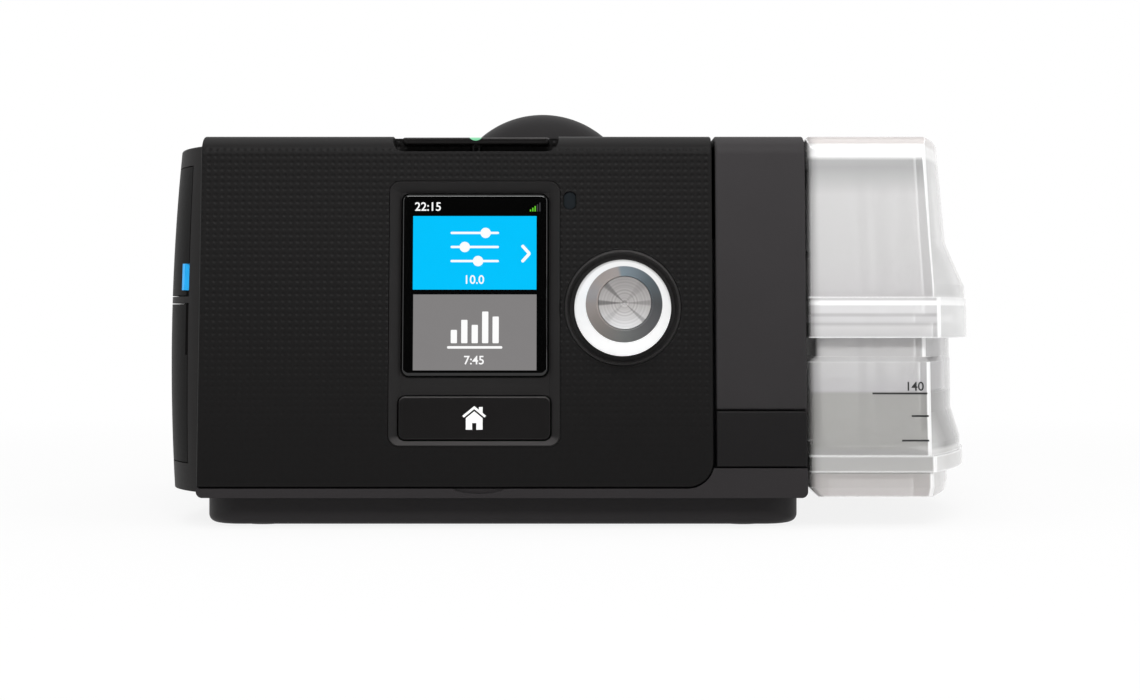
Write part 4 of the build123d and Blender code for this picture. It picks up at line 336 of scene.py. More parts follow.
def spun_aluminium():
    """Turned metal of the dial's insert."""
    made, tree, surface = new_material("Spun_Aluminium")
    radius, out = dial_radius(tree)
    dark = insert_painted_glints(tree, out)
    turns = add_node(tree, "ShaderNodeMath", {
        0: radius, 1: 2 * math.pi / (RING_PITCH * MM),
    }, operation="MULTIPLY").outputs[0]
    fine = add_node(tree, "ShaderNodeMath", {0: turns}, operation="SINE")
    wide = add_node(tree, "ShaderNodeMath", {0: turns, 1: 0.71}, operation="MULTIPLY")
    wide = add_node(tree, "ShaderNodeMath", {0: wide.outputs[0]}, operation="COSINE")
    rings = add_node(tree, "ShaderNodeMath", {0: fine.outputs[0], 1: wide.outputs[0]}).outputs[0]
    # The rings are stronger inside this radius than outside it.
    inner = add_node(tree, "ShaderNodeMapRange", {
        "Value": radius, "From Min": 4.8 * MM, "From Max": 3.4 * MM, "To Min": 0.04, "To Max": 0.08,
    })
    ripple = add_node(tree, "ShaderNodeMath", {0: rings, 1: inner.outputs[0], 2: 1.0}, operation="MULTIPLY_ADD")
    keep = add_node(tree, "ShaderNodeMath", {0: 1.0, 1: dark}, operation="SUBTRACT")
    level = add_node(tree, "ShaderNodeMath", {0: ripple.outputs[0], 1: keep.outputs[0]}, operation="MULTIPLY")
    # Painted sheen: grey at the top, bright at the foot.
    rise = add_node(tree, "ShaderNodeMapRange", {
        "Value": add_node(tree, "ShaderNodeSeparateXYZ", {0: out}).outputs["Y"],
        "From Min": -INSERT_REACH * MM, "From Max": INSERT_REACH * MM,
    })
    # The middle is painted darker, as painted shade of the small hole the tool leaves there.
    centre = add_node(tree, "ShaderNodeMapRange", {
        "Value": radius, "From Min": 0.25 * MM, "From Max": 1.0 * MM, "To Min": 0.62, "To Max": 1.0,
    })
    level = add_node(tree, "ShaderNodeMath", {
        0: level.outputs[0], 1: centre.outputs[0],
    }, operation="MULTIPLY")
    tint = add_node(tree, "ShaderNodeVectorMath", {
        0: ramp(tree, rise.outputs[0], INSERT_SHEEN), "Scale": level.outputs[0],
    }, operation="SCALE")
    calm = add_node(tree, "ShaderNodeMapRange", {"Value": radius, "From Min": 0.8 * MM, "From Max": 2.0 * MM})
    bump = add_node(tree, "ShaderNodeBump", {
        "Height": rings, "Distance": 0.0015 * MM, "Strength": calm.outputs[0],
    })
    shader = add_node(tree, "ShaderNodeBsdfPrincipled", {
        "Base Color": tint.outputs[0], "Metallic": 0.2, "Roughness": 0.4, "Normal": bump.outputs[0],
    })
    tree.links.new(shader.outputs[0], surface)
    return made


# Knob: flank in a bright satin white plating that is painted to glow, as painted light, more at the foot
# than at the top, with a grey line of painted shade round its upper outer edge, and a polished bevel round
# the spun face with a painted reflection of the room: warm grey on the left, blue grey at the top, dark on
# the right. Position is the share of a turn from the left side.
BEVEL_PAINTED_REFLECTION = (
    (0.0, "#9c938f"), (0.125, "#8f8985"), (0.25, "#7a7c7b"), (0.375, "#666668"), (0.5, "#4f5153"),
    (0.625, "#566066"), (0.722, "#6a767e"), (0.765, "#6f7d85"), (0.78, "#918b89"), (0.875, "#9b928e"),
)
BEVEL_END = (8.9, 9.05)       # distances from the axis, in millimetres
KNOB_EDGE = (10.7, 11.35)
KNOB_REACH = 9


def satin_knob():
    """Plated plastic of the dial's knob."""
    made, tree, surface = new_material("Satin_White_Plating")
    radius, out = dial_radius(tree)
    across = add_node(tree, "ShaderNodeSeparateXYZ", {0: out})
    turn = add_node(tree, "ShaderNodeMath", {
        0: across.outputs["Y"], 1: across.outputs["X"],
    }, operation="ARCTAN2")
    share = add_node(tree, "ShaderNodeMapRange", {
        "Value": turn.outputs[0], "From Min": -math.pi, "From Max": math.pi,
    })
    outside = add_node(tree, "ShaderNodeMapRange", {
        "Value": radius, "From Min": BEVEL_END[0] * MM, "From Max": BEVEL_END[1] * MM,
    })
    bump = add_node(tree, "ShaderNodeBump", {
        "Height": grain(tree, 0.4), "Distance": 0.003 * MM, "Strength": 1.0,
    }).outputs[0]
    # Painted light: the flank glows, from 0.5 at the foot to 0.2 at the top.
    glow = add_node(tree, "ShaderNodeMapRange", {
        "Value": across.outputs["Y"], "From Min": -KNOB_REACH * MM, "From Max": KNOB_REACH * MM,
        "To Min": 0.5, "To Max": 0.2,
    })
    # Painted shade: the grey line round the upper outer edge, strongest at the top.
    rim = add_node(tree, "ShaderNodeMapRange", {
        "Value": radius, "From Min": KNOB_EDGE[0] * MM, "From Max": KNOB_EDGE[1] * MM,
    })
    crown = add_node(tree, "ShaderNodeMapRange", {
        "Value": across.outputs["Y"], "From Min": -2 * MM, "From Max": 8 * MM, "To Max": 0.6,
    })
    line = add_node(tree, "ShaderNodeMath", {0: rim.outputs[0], 1: crown.outputs[0]}, operation="MULTIPLY")
    plate = add_node(tree, "ShaderNodeMix", {
        0: line.outputs[0], 6: colour("#fdfdfd"), 7: colour("#5c5a59"),
    }, data_type="RGBA")
    flank = add_node(tree, "ShaderNodeBsdfPrincipled", {
        "Base Color": plate.outputs[2], "Roughness": 0.25, "Normal": bump,
        "Emission Color": WHITE, "Emission Strength": glow.outputs[0],
    })
    # Painted reflection of the room on the bevel, by the share of a turn.
    ring = add_node(tree, "ShaderNodeBsdfPrincipled", {
        "Base Color": ramp(tree, share.outputs[0], BEVEL_PAINTED_REFLECTION), "Metallic": 0.15, "Roughness": 0.4,
        "Normal": bump, "Specular IOR Level": 0.3,
    })
    mix = add_node(tree, "ShaderNodeMixShader", {
        0: outside.outputs[0], 1: ring.outputs[0], 2: flank.outputs[0],
    })
    tree.links.new(mix.outputs[0], surface)
    return made


# ---- Clear plastics and water ------------------------------------------------------------------
def clear_material(name, face, edge, haze, gloss, haze_code="#f6f6f5"):
    """Clear body with straight see-through: darker where seen edge-on, slightly milky, with a glossy skin."""
    made, tree, surface = new_material(name)
    bump = add_node(tree, "ShaderNodeBump", {
        "Height": grain(tree, 18.0, 1.0), "Distance": 0.08 * MM, "Strength": 1.0,
    }).outputs[0]
    slant = add_node(tree, "ShaderNodeLayerWeight", {"Blend": 0.35}).outputs["Facing"]
    tint = add_node(tree, "ShaderNodeMix", {0: slant, 6: colour(face), 7: colour(edge)}, data_type="RGBA")
    through = add_node(tree, "ShaderNodeBsdfTransparent", {"Color": tint.outputs[2]})
    milk = add_node(tree, "ShaderNodeBsdfPrincipled", {
        "Base Color": colour(haze_code), "Roughness": 0.35, "Normal": bump,
    })
    inner = add_node(tree, "ShaderNodeMixShader", {0: haze, 1: through.outputs[0], 2: milk.outputs[0]})
    skin = add_node(tree, "ShaderNodeBsdfGlossy", {"Color": WHITE, "Roughness": 0.06, "Normal": bump})
    share = add_node(tree, "ShaderNodeMapRange", {
        "Value": add_node(tree, "ShaderNodeFresnel", {"IOR": 1.45, "Normal": bump}).outputs[0],
        "To Min": 0.0, "To Max": gloss,
    })
    mix = add_node(tree, "ShaderNodeMixShader", {
        0: share.outputs[0], 1: inner.outputs[0], 2: skin.outputs[0],
    })
    tree.links.new(mix.outputs[0], surface)
    return made


# Tub: moulded polycarbonate, milky in the lid and the foot where the tool was etched, clearer round the water.
# Its edges are painted with white lines, as painted highlights, and flat tops are paler and clearer than
# walls.
#
# Height, as a share of 100 mm, against the tint of the milk, its tint on the right side, and how much there is.
# The tints are partly the milk's own and partly painted light: the white bands at the rim's top edge and the
# lid's rounded top, and the white of the right side round the rim, are painted highlights; the darker bands
# beside them and under the rim, and the dark right side below the water line, are painted shade.
WATER_LINE = 0.323
TUB_MILK = (
    (0.07, "#c4bfbe"), (0.125, "#c2bebc"), (0.14, "#c6c5c3"), (0.185, "#cac9c8"), (0.19, "#cecdca"),
    (WATER_LINE, "#cecdca"), (0.326, "#e3e1e3"), (0.40, "#e4e3e3"), (0.44, "#dfdddd"), (0.455, "#dad9da"),
    (0.482, "#ebeaea"), (0.488, "#cfcdce"), (0.494, "#efeeef"), (0.504, "#f0eff0"), (0.510, "#cac8c9"),
    (0.516, "#f6f5f6"), (0.532, "#f6f5f6"), (0.535, "#ffffff"), (0.542, "#ffffff"), (0.546, "#cbc9ca"),
    (0.558, "#e3e1e2"), (0.66, "#e8e7e7"), (0.80, "#ecebeb"), (0.866, "#c9c9c9"), (0.884, "#d1d1d1"),
    (0.893, "#ffffff"), (0.921, "#ffffff"), (0.925, "#c6bfbd"),
)
TUB_SIDE_MILK = (
    (0.07, "#c6c1c0"), (0.14, "#cecdcc"), (0.185, "#bfbebc"), (0.19, "#6e6d6b"), (WATER_LINE, "#6e6d6b"),
    (0.33, "#c8c6c7"), (0.45, "#c8c6c7"), (0.46, "#ffffff"), (0.55, "#ffffff"), (0.56, "#efeeee"),
    (0.915, "#efeeee"), (0.92, "#d0cac8"),
)
# The milk is thicker at the painted white bands, so the painted highlights show.
TUB_HAZE = (
    (0.11, "#dedede"), (0.17, "#d4d4d4"), (0.20, "#b6b6b6"), (WATER_LINE, "#b6b6b6"), (0.33, "#bcbcbc"),
    (0.40, "#c4c4c4"), (0.46, "#cecece"), (0.532, "#d2d2d2"), (0.535, "#f4f4f4"), (0.542, "#f4f4f4"),
    (0.56, "#cccccc"), (0.884, "#cccccc"), (0.893, "#f4f4f4"),
)
# Painted shade: milk on the right side under the water line, so its painted dark tint shows.
WET_HAZE = 0.92               # on the right side, up to the water's surface
# Across the tub, as a share of 100 mm: the end wall next to the body is painted as a dark stripe, the
# painted shade of the narrow gap between the tub and the body.
TUB_END_PAINTED_SHADE = (
    (0.551, "#ffffff"), (0.5545, "#acabab"), (0.559, "#bfbebe"), (0.567, "#e9e9e9"), (0.580, "#ffffff"),
)
# Where the outer wall's front corner starts, in millimetres across: under the rim, and from the rim up. From
# the lid's foot to its top it leans in by the lid's draft. The inner corner lies left of this line.
CORNER_X = (82.35, 83.45)
RIM_STEP = (48, 50)           # heights between which it steps out
LID_HEIGHTS = (55.2, 94.4)    # foot and top of the lid
LID_DRAFT = 1.7
BODY_SIDE = (58, 59)          # where the tub's wall goes in behind the body
EDGE_ROUNDING = 0.8
# Painted highlight: the edges are painted up to this white.
EDGE_PAINTED_WHITE = 0.85             # how white the brightest edge line is


def past_outer_corner(tree, place):
    """1 on the tub's outer front corner and right of it, 0 left of it."""
    step = add_node(tree, "ShaderNodeMapRange", {
        "Value": place.outputs["Z"], "From Min": RIM_STEP[0] * MM, "From Max": RIM_STEP[1] * MM,
        "To Min": CORNER_X[0] * MM, "To Max": CORNER_X[1] * MM,
    })
    lean = add_node(tree, "ShaderNodeMapRange", {
        "Value": place.outputs["Z"], "From Min": LID_HEIGHTS[0] * MM, "From Max": LID_HEIGHTS[1] * MM,
        "To Max": LID_DRAFT * MM,
    })
    past = add_node(tree, "ShaderNodeMath", {
        0: place.outputs["X"], 1: step.outputs[0],
    }, operation="SUBTRACT")
    past = add_node(tree, "ShaderNodeMath", {0: past.outputs[0], 1: lean.outputs[0]})
    return add_node(tree, "ShaderNodeMapRange", {"Value": past.outputs[0], "From Max": 0.1 * MM}).outputs[0]


def tub_painted_edge_lines(tree, place):
    """How white the painted edge highlights are: level edges, upright ones at the body, and the outer front
    corner.
    """
    rounded = add_node(tree, "ShaderNodeBevel", {"Radius": EDGE_ROUNDING * MM}, samples=6).outputs[0]
    flat = add_node(tree, "ShaderNodeNewGeometry").outputs["Normal"]
    turn = add_node(tree, "ShaderNodeVectorMath", {0: rounded, 1: flat}, operation="DOT_PRODUCT")
    edge = add_node(tree, "ShaderNodeMapRange", {
        "Value": turn.outputs["Value"], "From Min": 0.985, "From Max": 0.86, "To Max": EDGE_PAINTED_WHITE,
    })
    outer = past_outer_corner(tree, place)
    at_body = add_node(tree, "ShaderNodeMapRange", {
        "Value": place.outputs["X"], "From Min": BODY_SIDE[1] * MM, "From Max": BODY_SIDE[0] * MM,
    })
    tilt = add_node(tree, "ShaderNodeMath", {
        0: add_node(tree, "ShaderNodeSeparateXYZ", {0: rounded}).outputs["Z"],
    }, operation="ABSOLUTE")
    level = add_node(tree, "ShaderNodeMapRange", {
        "Value": tilt.outputs[0], "From Min": 0.15, "From Max": 0.25,
    })
    kept = add_node(tree, "ShaderNodeMath", {0: outer, 1: at_body.outputs[0]}, operation="MAXIMUM")
    kept = add_node(tree, "ShaderNodeMath", {0: kept.outputs[0], 1: level.outputs[0]}, operation="MAXIMUM")
    edge = add_node(tree, "ShaderNodeMath", {0: edge.outputs[0], 1: kept.outputs[0]}, operation="MULTIPLY")
    # The bend of the corner itself, on upright faces only, is painted white as a highlight too.
    slope = add_node(tree, "ShaderNodeMath", {
        0: add_node(tree, "ShaderNodeSeparateXYZ", {0: flat}).outputs["Z"],
    }, operation="ABSOLUTE")
    upright = add_node(tree, "ShaderNodeMapRange", {
        "Value": slope.outputs[0], "From Min": 0.3, "From Max": 0.25,
    })
    bend = add_node(tree, "ShaderNodeMath", {
        0: facing(tree, "X", 0.05, 0.2), 1: facing(tree, "X", 0.88, 0.78),
    }, operation="MULTIPLY")
    bend = add_node(tree, "ShaderNodeMath", {0: bend.outputs[0], 1: upright.outputs[0]}, operation="MULTIPLY")
    bend = add_node(tree, "ShaderNodeMath", {0: bend.outputs[0], 1: outer}, operation="MULTIPLY")
    edge = add_node(tree, "ShaderNodeMath", {0: edge.outputs[0], 1: bend.outputs[0]}, operation="MAXIMUM")
    return add_node(tree, "ShaderNodeMath", {0: edge.outputs[0], 1: EDGE_PAINTED_WHITE}, operation="MINIMUM").outputs[0]


def tub_tint(tree, height, place, edge):
    """Colour of the milk: its height ramps with their painted light and shade, the end wall's painted dark
    stripe, and the white of the painted edge highlights.
    """
    tint = add_node(tree, "ShaderNodeMix", {
        0: facing(tree, "X", 0.3, 0.8), 6: ramp(tree, height, TUB_MILK), 7: ramp(tree, height, TUB_SIDE_MILK),
    }, data_type="RGBA")
    across = add_node(tree, "ShaderNodeMath", {
        0: place.outputs["X"], 1: SHARE_UNIT * MM,
    }, operation="DIVIDE")
    tint = add_node(tree, "ShaderNodeMix", {
        0: 1.0, 6: tint.outputs[2], 7: ramp(tree, across.outputs[0], TUB_END_PAINTED_SHADE),
    }, data_type="RGBA", blend_type="MULTIPLY")
    tint = add_node(tree, "ShaderNodeMix", {
        0: facing(tree, "Z", 0.96, 0.99), 6: tint.outputs[2], 7: colour("#e6e5e5"),
    }, data_type="RGBA")
    return add_node(tree, "ShaderNodeMix", {0: edge, 6: tint.outputs[2], 7: WHITE}, data_type="RGBA").outputs[2]


def tub_haze(tree, height, edge):
    """Share of milk against see-through: less on the inner end and flat tops, most at the painted white edges
    and where the right side is painted dark under the water line.
    """
    haze = add_node(tree, "ShaderNodeMath", {
        0: ramp(tree, height, TUB_HAZE), 1: facing(tree, "X", -0.6, -0.95, 1.0, 0.3),
    }, operation="MULTIPLY")
    haze = add_node(tree, "ShaderNodeMath", {
        0: haze.outputs[0], 1: facing(tree, "Z", 0.96, 0.99, 1.0, 0.65),
    }, operation="MULTIPLY")
    below = add_node(tree, "ShaderNodeMapRange", {
        "Value": height, "From Min": WATER_LINE, "From Max": WATER_LINE + 0.003,
        "To Min": WET_HAZE, "To Max": 0.0,
    })
    wet = add_node(tree, "ShaderNodeMath", {
        0: facing(tree, "X", 0.3, 0.7), 1: below.outputs[0],
    }, operation="MULTIPLY")
    haze = add_node(tree, "ShaderNodeMath", {0: haze.outputs[0], 1: wet.outputs[0]}, operation="MAXIMUM")
    return add_node(tree, "ShaderNodeMath", {0: haze.outputs[0], 1: edge}, operation="MAXIMUM").outputs[0]


def tub_polycarbonate():
    """Clear plastic of the tub's lid, base and foot skirt."""
    made, tree, surface = new_material("Milky_Polycarbonate")
    height = share_of_height(tree)
    where = add_node(tree, "ShaderNodeTexCoord").outputs["Object"]
    place = add_node(tree, "ShaderNodeSeparateXYZ", {0: where})
    edge = tub_painted_edge_lines(tree, place)
    bump = add_node(tree, "ShaderNodeBump", {
        "Height": grain(tree, 22.0, 1.0), "Distance": 0.06 * MM, "Strength": 1.0,
    }).outputs[0]
    slant = add_node(tree, "ShaderNodeLayerWeight", {"Blend": 0.3}).outputs["Facing"]
    clear = add_node(tree, "ShaderNodeMix", {
        0: slant, 6: colour("#f6f6f6"), 7: colour("#dad8d8"),
    }, data_type="RGBA")
    through = add_node(tree, "ShaderNodeBsdfTransparent", {"Color": clear.outputs[2]})
    milk = add_node(tree, "ShaderNodeBsdfPrincipled", {
        "Base Color": tub_tint(tree, height, place, edge), "Roughness": 0.4, "Normal": bump,
        "Specular IOR Level": 0.2,
    })
    inner = add_node(tree, "ShaderNodeMixShader", {
        0: tub_haze(tree, height, edge), 1: through.outputs[0], 2: milk.outputs[0],
    })
    skin = add_node(tree, "ShaderNodeBsdfGlossy", {"Color": WHITE, "Roughness": 0.09, "Normal": bump})
    share = add_node(tree, "ShaderNodeFresnel", {"IOR": 1.5, "Normal": bump})
    mix = add_node(tree, "ShaderNodeMixShader", {
        0: share.outputs[0], 1: inner.outputs[0], 2: skin.outputs[0],
    })
    tree.links.new(mix.outputs[0], surface)
    return made


# ---- Finishes of the imported pieces -------------------------------------------------------------
# Share of 100 mm in height against shade: the start key's stem is painted dark, as painted shade in the gap
# under the key; the case is painted darker towards its top, painted shade that makes the dome behind darker
# than the case; and the cover is painted darker towards its foot, as painted shade, and much darker again
# below 28 mm, so its foot is darker than the rest of it.
KEY_FALL = ((0.80, "#ffffff"), (0.82, "#303030"), (0.915, "#303030"), (0.918, "#ffffff"))
CASE_FALL = ((0.50, "#ffffff"), (0.92, "#bcbcbc"))
COVER_FALL = ((0.20, "#8c8c8c"), (0.28, "#909090"), (0.29, "#dedede"), (0.90, "#ffffff"))

FINISHES = {
    # Black ABS with etched dimples: nearly black, soft sheen, the grid shows where light grazes it.
    "fascia_black": dimpled_abs(),
    # Satin ABS of the right cover, a little lighter than the fascia, and of the case, which is darker again.
    "cover_grey": moulded("Satin_Grey_ABS", "#353334", 0.48, shade=0.05, specular=0.1, fall=COVER_FALL),
    "case_grey": moulded("Satin_Dark_ABS", "#2d2b2c", 0.5, shade=0.05, specular=0.07, fall=CASE_FALL),
    # Satin ABS of the side frame and its two covers: plain black with hardly a sheen.
    "side_black": moulded("Satin_Black_ABS", "#232222", 0.5, shade=0.06, specular=0.06),
    "door_black": moulded("Satin_Black_Door_ABS", "#0b0a0a", 0.5, shade=0.06, specular=0.05),
    # Plinth: coarse moulded texture that breaks up the light from above.
    "plinth_black": moulded("Textured_Black_ABS", "#211f20", 0.55, grain_mm=0.8, depth_mm=0.03, specular=0.2),
    # Frames of the display and the dial: finer texture than the fascia, so they catch the side lights. Faces
    # that look up are painted lighter, as painted light, and the ring round the dial is painted paler on its
    # flat, as painted light, and darker on its rim, as painted shade.
    "bezel_black": moulded("Smooth_Black_ABS", "#232222", 0.42, grain_mm=0.5, depth_mm=0.02, specular=0.08,
                           upper=2.6, dial_ring=(1.2, 0.45)),
    # Polished acrylic window: mirror gloss over black.
    "window_glass": moulded("Polished_Black_Acrylic", "#030303", 0.06, depth_mm=0.0, shade=0.0),
    # Keys: fine satin black; faces that look up are painted paler, a painted highlight that shows as a pale
    # line along the upper edge.
    "button_black": moulded("Satin_Black_Key", "#191818", 0.25, depth_mm=0.003, shade=0.03, specular=0.1,
                            upper=4.0, fall=KEY_FALL),
    # Smoked acrylic over the light sensor: dark blue grey and glossy.
    "sensor_window": moulded("Smoked_Acrylic", "#1f2326", 0.1, depth_mm=0.0, shade=0.0),
    # Unlit panel behind the window: smooth and nearly black.
    "display": moulded("Display_Panel", "#101112", 0.2, depth_mm=0.0),
    # Acrylic light pipe in the start key: glows a soft green.
    "led_green": lit("Green_Light_Pipe", "#7fd6a4"),
    # The dial: bright satin plating round a turned face.
    "knob_metal": satin_knob(),
    "insert_metal": spun_aluminium(),
    # Bare metals: ground steel and pressed sheet are cool and fairly bright, brushed plates are duller.
    "steel": metal("Ground_Steel", "#b4b4b6", 0.28),
    "socket_metal": metal("Pressed_Steel_Sheet", "#b9bab9", 0.35),
    "heater_metal": metal("Brushed_Aluminium", "#c4c4c6", 0.38),
    "tub_metal": metal("Brushed_Stainless_Steel", "#b2b1ae", 0.32),
    # Enamelled copper in the motor: warm, with the turns of the wire as a coarse grain.
    "copper": metal("Enamelled_Copper_Wire", "#c0724a", 0.34, grain_mm=0.8, depth_mm=0.05),
    # Plated contacts: bright yellow.
    "contact_brass": metal("Plated_Brass", "#d8b46a", 0.25),
    # Plain mouldings inside and at the back: dark grey liner, off-white nylon, smooth grey outlet.
    "inner_plastic": moulded("Moulded_Grey_Liner", "#343436", 0.5),
    "inner_white": moulded("Moulded_White_Nylon", "#c9c8c2", 0.5, shade=0.04),
    "outlet_grey": moulded("Smooth_Grey_Outlet", "#4a4a4c", 0.3, depth_mm=0.008),
    # Circuit boards: green lacquer with shade that shifts with the copper under it, and matt black chips.
    "board_green": moulded("Solder_Resist", "#1b4a2c", 0.35, grain_mm=2.5, depth_mm=0.02, shade=0.3),
    "chip_black": moulded("Chip_Epoxy", "#161616", 0.5),
    # Memory card and pull tab: the two blue plastics, one dark and one bright.
    "card_blue": moulded("Memory_Card_Plastic", "#22365f", 0.4),
    "tab_blue": moulded("Blue_Pull_Tab", "#00a6ee", 0.35, shade=0.03),
    # Nylon of the sockets: black and a little duller than the case.
    "port_black": moulded("Connector_Nylon", "#141414", 0.45),
    # Rubber feet and silicone seals: matt, soft highlights.
    "rubber": moulded("Foot_Rubber", "#191919", 0.75, depth_mm=0.04),
    "silicone": moulded("Grey_Silicone", "#8d8e90", 0.45, depth_mm=0.01),
    "tub_seal": clear_material("Translucent_Silicone", "#d8d8d8", "#b0b0b0", 0.3, 0.4, "#c4c4c4"),
    # Air filter: felted fibre, white, rough and uneven.
    "filter_foam": moulded("Felted_Filter_Fibre", "#dcdbd6", 0.9, grain_mm=0.9, depth_mm=0.4, shade=0.15),
    # Polycarbonate of the tub: milky and clear, with white edges painted on as highlights.
    "tub_clear": tub_polycarbonate(),
}
for entry in frame["record"]["subparts"]:
    shape = NODES[entry["node"]].data
    shape.materials.clear()
    shape.materials.append(FINISHES[entry["material_slot"]])

# Screen picture: light of the display's own colours. Prints: thin matt ink. Water: clear, hardly any milk.
TILE_BLUE = lit("Lit_Blue_Tile", "#00c4ff")
TILE_GREY = lit("Lit_Grey_Tile", "#838181")
SCREEN_WHITE = lit("Lit_White_Mark", "#ffffff")
SCREEN_GREEN = lit("Lit_Green_Bar", "#69d02f")
SCREEN_DIM = lit("Lit_Dim_Bar", "#3c3c3e")
PRINT_WHITE = moulded("White_Ink", "#f0f0f0", 0.4, depth_mm=0.004, shade=0.02)
PRINT_BLACK = moulded("Black_Ink", "#1d1d1d", 0.5, depth_mm=0.004, shade=0.05)
PRINT_BLUE = moulded("Blue_Ink", "#00a6ee", 0.4, depth_mm=0.004, shade=0.02)
WATER = clear_material("Water", "#d6d6d4", "#d6d6d4", 0.02, 0.05)


# ---- Shaping helpers ---------------------------------------------------------------------------
def finish_piece(bm, name, material, body, place=Matrix.Identity(4)):
    """Turns a bmesh drawn in millimetres into a piece that rides on a body."""
    bm.transform(Matrix.Scale(MM, 4) @ place)
    bmesh.ops.recalc_face_normals(bm, faces=bm.faces)
    mesh = bpy.data.meshes.new(name)
    bm.to_mesh(mesh)
    bm.free()
    piece = bpy.data.objects.new(name, mesh)
    bpy.context.scene.collection.objects.link(piece)
    mesh.materials.append(material)
    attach(piece, body)


def add_slab(bm, x, y, width, height, low, high, corner=0.0, turn=0.0):
    """Flat slab with rounded corners, centred on x, y, from a low to a high level."""
    place = Matrix.Translation((x, y, (low + high) / 2)) @ Matrix.Rotation(turn, 4, "Z")
    made = bmesh.ops.create_cube(bm, size=1.0, matrix=place @ Matrix.Diagonal((width, height, high - low, 1)))
    if corner:
        upright = [e for e in {e for v in made["verts"] for e in v.link_edges}
                   if abs(e.verts[0].co.z - e.verts[1].co.z) > (high - low) / 2]
        bmesh.ops.bevel(bm, geom=upright, offset=corner, affect="EDGES", segments=5, profile=0.5, material=-1)


def add_plate(bm, outline, low, high):
    """Flat plate with an outline of its own, from a low to a high level."""
    face = bm.faces.new([bm.verts.new((x, y, low)) for x, y in outline])
    grown = bmesh.ops.extrude_face_region(bm, geom=[face])
    top = [v for v in grown["geom"] if isinstance(v, bmesh.types.BMVert)]
    bmesh.ops.translate(bm, vec=(0, 0, high - low), verts=top)


def add_disc(bm, x, y, radius, low, high):
    """Flat round disc, from a low to a high level."""
    bmesh.ops.create_cone(
        bm, cap_ends=True, segments=32, radius1=radius, radius2=radius, depth=high - low,
        matrix=Matrix.Translation((x, y, (low + high) / 2)),
    )


def add_digits(name, text, size, x, y, level, thick, material, body):
    """Plain digits, drawn flat and laid on the leaning face."""
    curve = bpy.data.curves.new(name, "FONT")
    curve.body = text
    curve.size = size
    curve.align_x = "CENTER"
    curve.align_y = "CENTER"
    curve.extrude = thick / 2
    curve.offset = size * 0.012
    drawn = bpy.data.objects.new(name, curve)
    bpy.context.scene.collection.objects.link(drawn)
    bpy.context.view_layer.update()
    bm = bmesh.new()
    bm.from_mesh(bpy.data.meshes.new_from_object(drawn))
    bpy.data.objects.remove(drawn)
    bmesh.ops.remove_doubles(bm, verts=bm.verts, dist=size * 0.0005)
    bm.transform(Matrix.Translation((x, y, level + thick / 2)))
    finish_piece(bm, name, material, body, ON_FACE)


# ---- Display picture ---------------------------------------------------------------------------
# Levels out of the face, in millimetres: the window's face lies behind the fascia, tiles and marks on it are
# thin layers, and each starts a little way inside the one below.
SCREEN = -0.7
SINK = 0.02
TILE_TOP = SCREEN + 0.04
MARK_TOP = SCREEN + 0.07
# Middle across, middle up the face, width and height of the two tiles.
BLUE_TILE = (-24.83, up_face(65.96), 29.66, 17.75)
GREY_TILE = (-24.75, up_face(46.85), 29.56, 18.2)
LINE_CORNER = 0.25
DIGIT_SIZE = 2.9
DIGIT_THICK = 0.04

bm = bmesh.new()
add_slab(bm, *BLUE_TILE, SCREEN - SINK, TILE_TOP)
finish_piece(bm, "screen_blue_tile", TILE_BLUE, "machine", ON_FACE)
bm = bmesh.new()
add_slab(bm, *GREY_TILE, SCREEN - SINK, TILE_TOP)
finish_piece(bm, "screen_grey_tile", TILE_GREY, "machine", ON_FACE)

# Settings mark on the upper tile: three slider lines with knobs, and an arrow to the right.
SLIDERS_UP = 1.4              # from the tile's middle up to the middle slider
SLIDER_ROWS = ((3.4, 2.6), (0.0, -2.4), (-3.4, 0.8))    # height of each line, place of its knob
SLIDER_LENGTH = 11.6
SLIDER_THICK = 0.55
SLIDER_KNOB = 1.25
ARROW_X = -12.55
ARROW_DOWN = 0.2
ARROW_SPREAD = 0.95
ARROW_BAR = (2.9, 0.75)
ARROW_CORNER = 0.3
ARROW_ANGLE = math.radians(48)
bm = bmesh.new()
for row, knob in SLIDER_ROWS:
    y = BLUE_TILE[1] + SLIDERS_UP + row
    add_slab(bm, BLUE_TILE[0], y, SLIDER_LENGTH, SLIDER_THICK, TILE_TOP - SINK, MARK_TOP, LINE_CORNER)
    add_disc(bm, BLUE_TILE[0] + knob, y, SLIDER_KNOB, TILE_TOP - SINK, MARK_TOP + 0.01)
for side in (-1, 1):
    y = BLUE_TILE[1] - ARROW_DOWN + side * ARROW_SPREAD
    add_slab(bm, ARROW_X, y, *ARROW_BAR, TILE_TOP - SINK, MARK_TOP, ARROW_CORNER, -side * ARROW_ANGLE)
# Report mark on the lower tile: a row of bars on a base line.
BAR_HEIGHTS = (3.2, 5.6, 4.4, 7.6, 6.4)
BAR_PITCH = 2.5
BAR_WIDTH = 1.5
BAR_FOOT = -2.6               # from the tile's middle
BASE_LINE = (13.2, 0.6)
for step, high in enumerate(BAR_HEIGHTS):
    add_slab(bm, GREY_TILE[0] + (step - 2) * BAR_PITCH, GREY_TILE[1] + BAR_FOOT + high / 2, BAR_WIDTH, high,
             TILE_TOP - SINK, MARK_TOP, 0.2)
add_slab(bm, GREY_TILE[0], GREY_TILE[1] + BAR_FOOT - 1.0, *BASE_LINE, TILE_TOP - SINK, MARK_TOP, LINE_CORNER)
finish_piece(bm, "screen_marks", SCREEN_WHITE, "machine", ON_FACE)

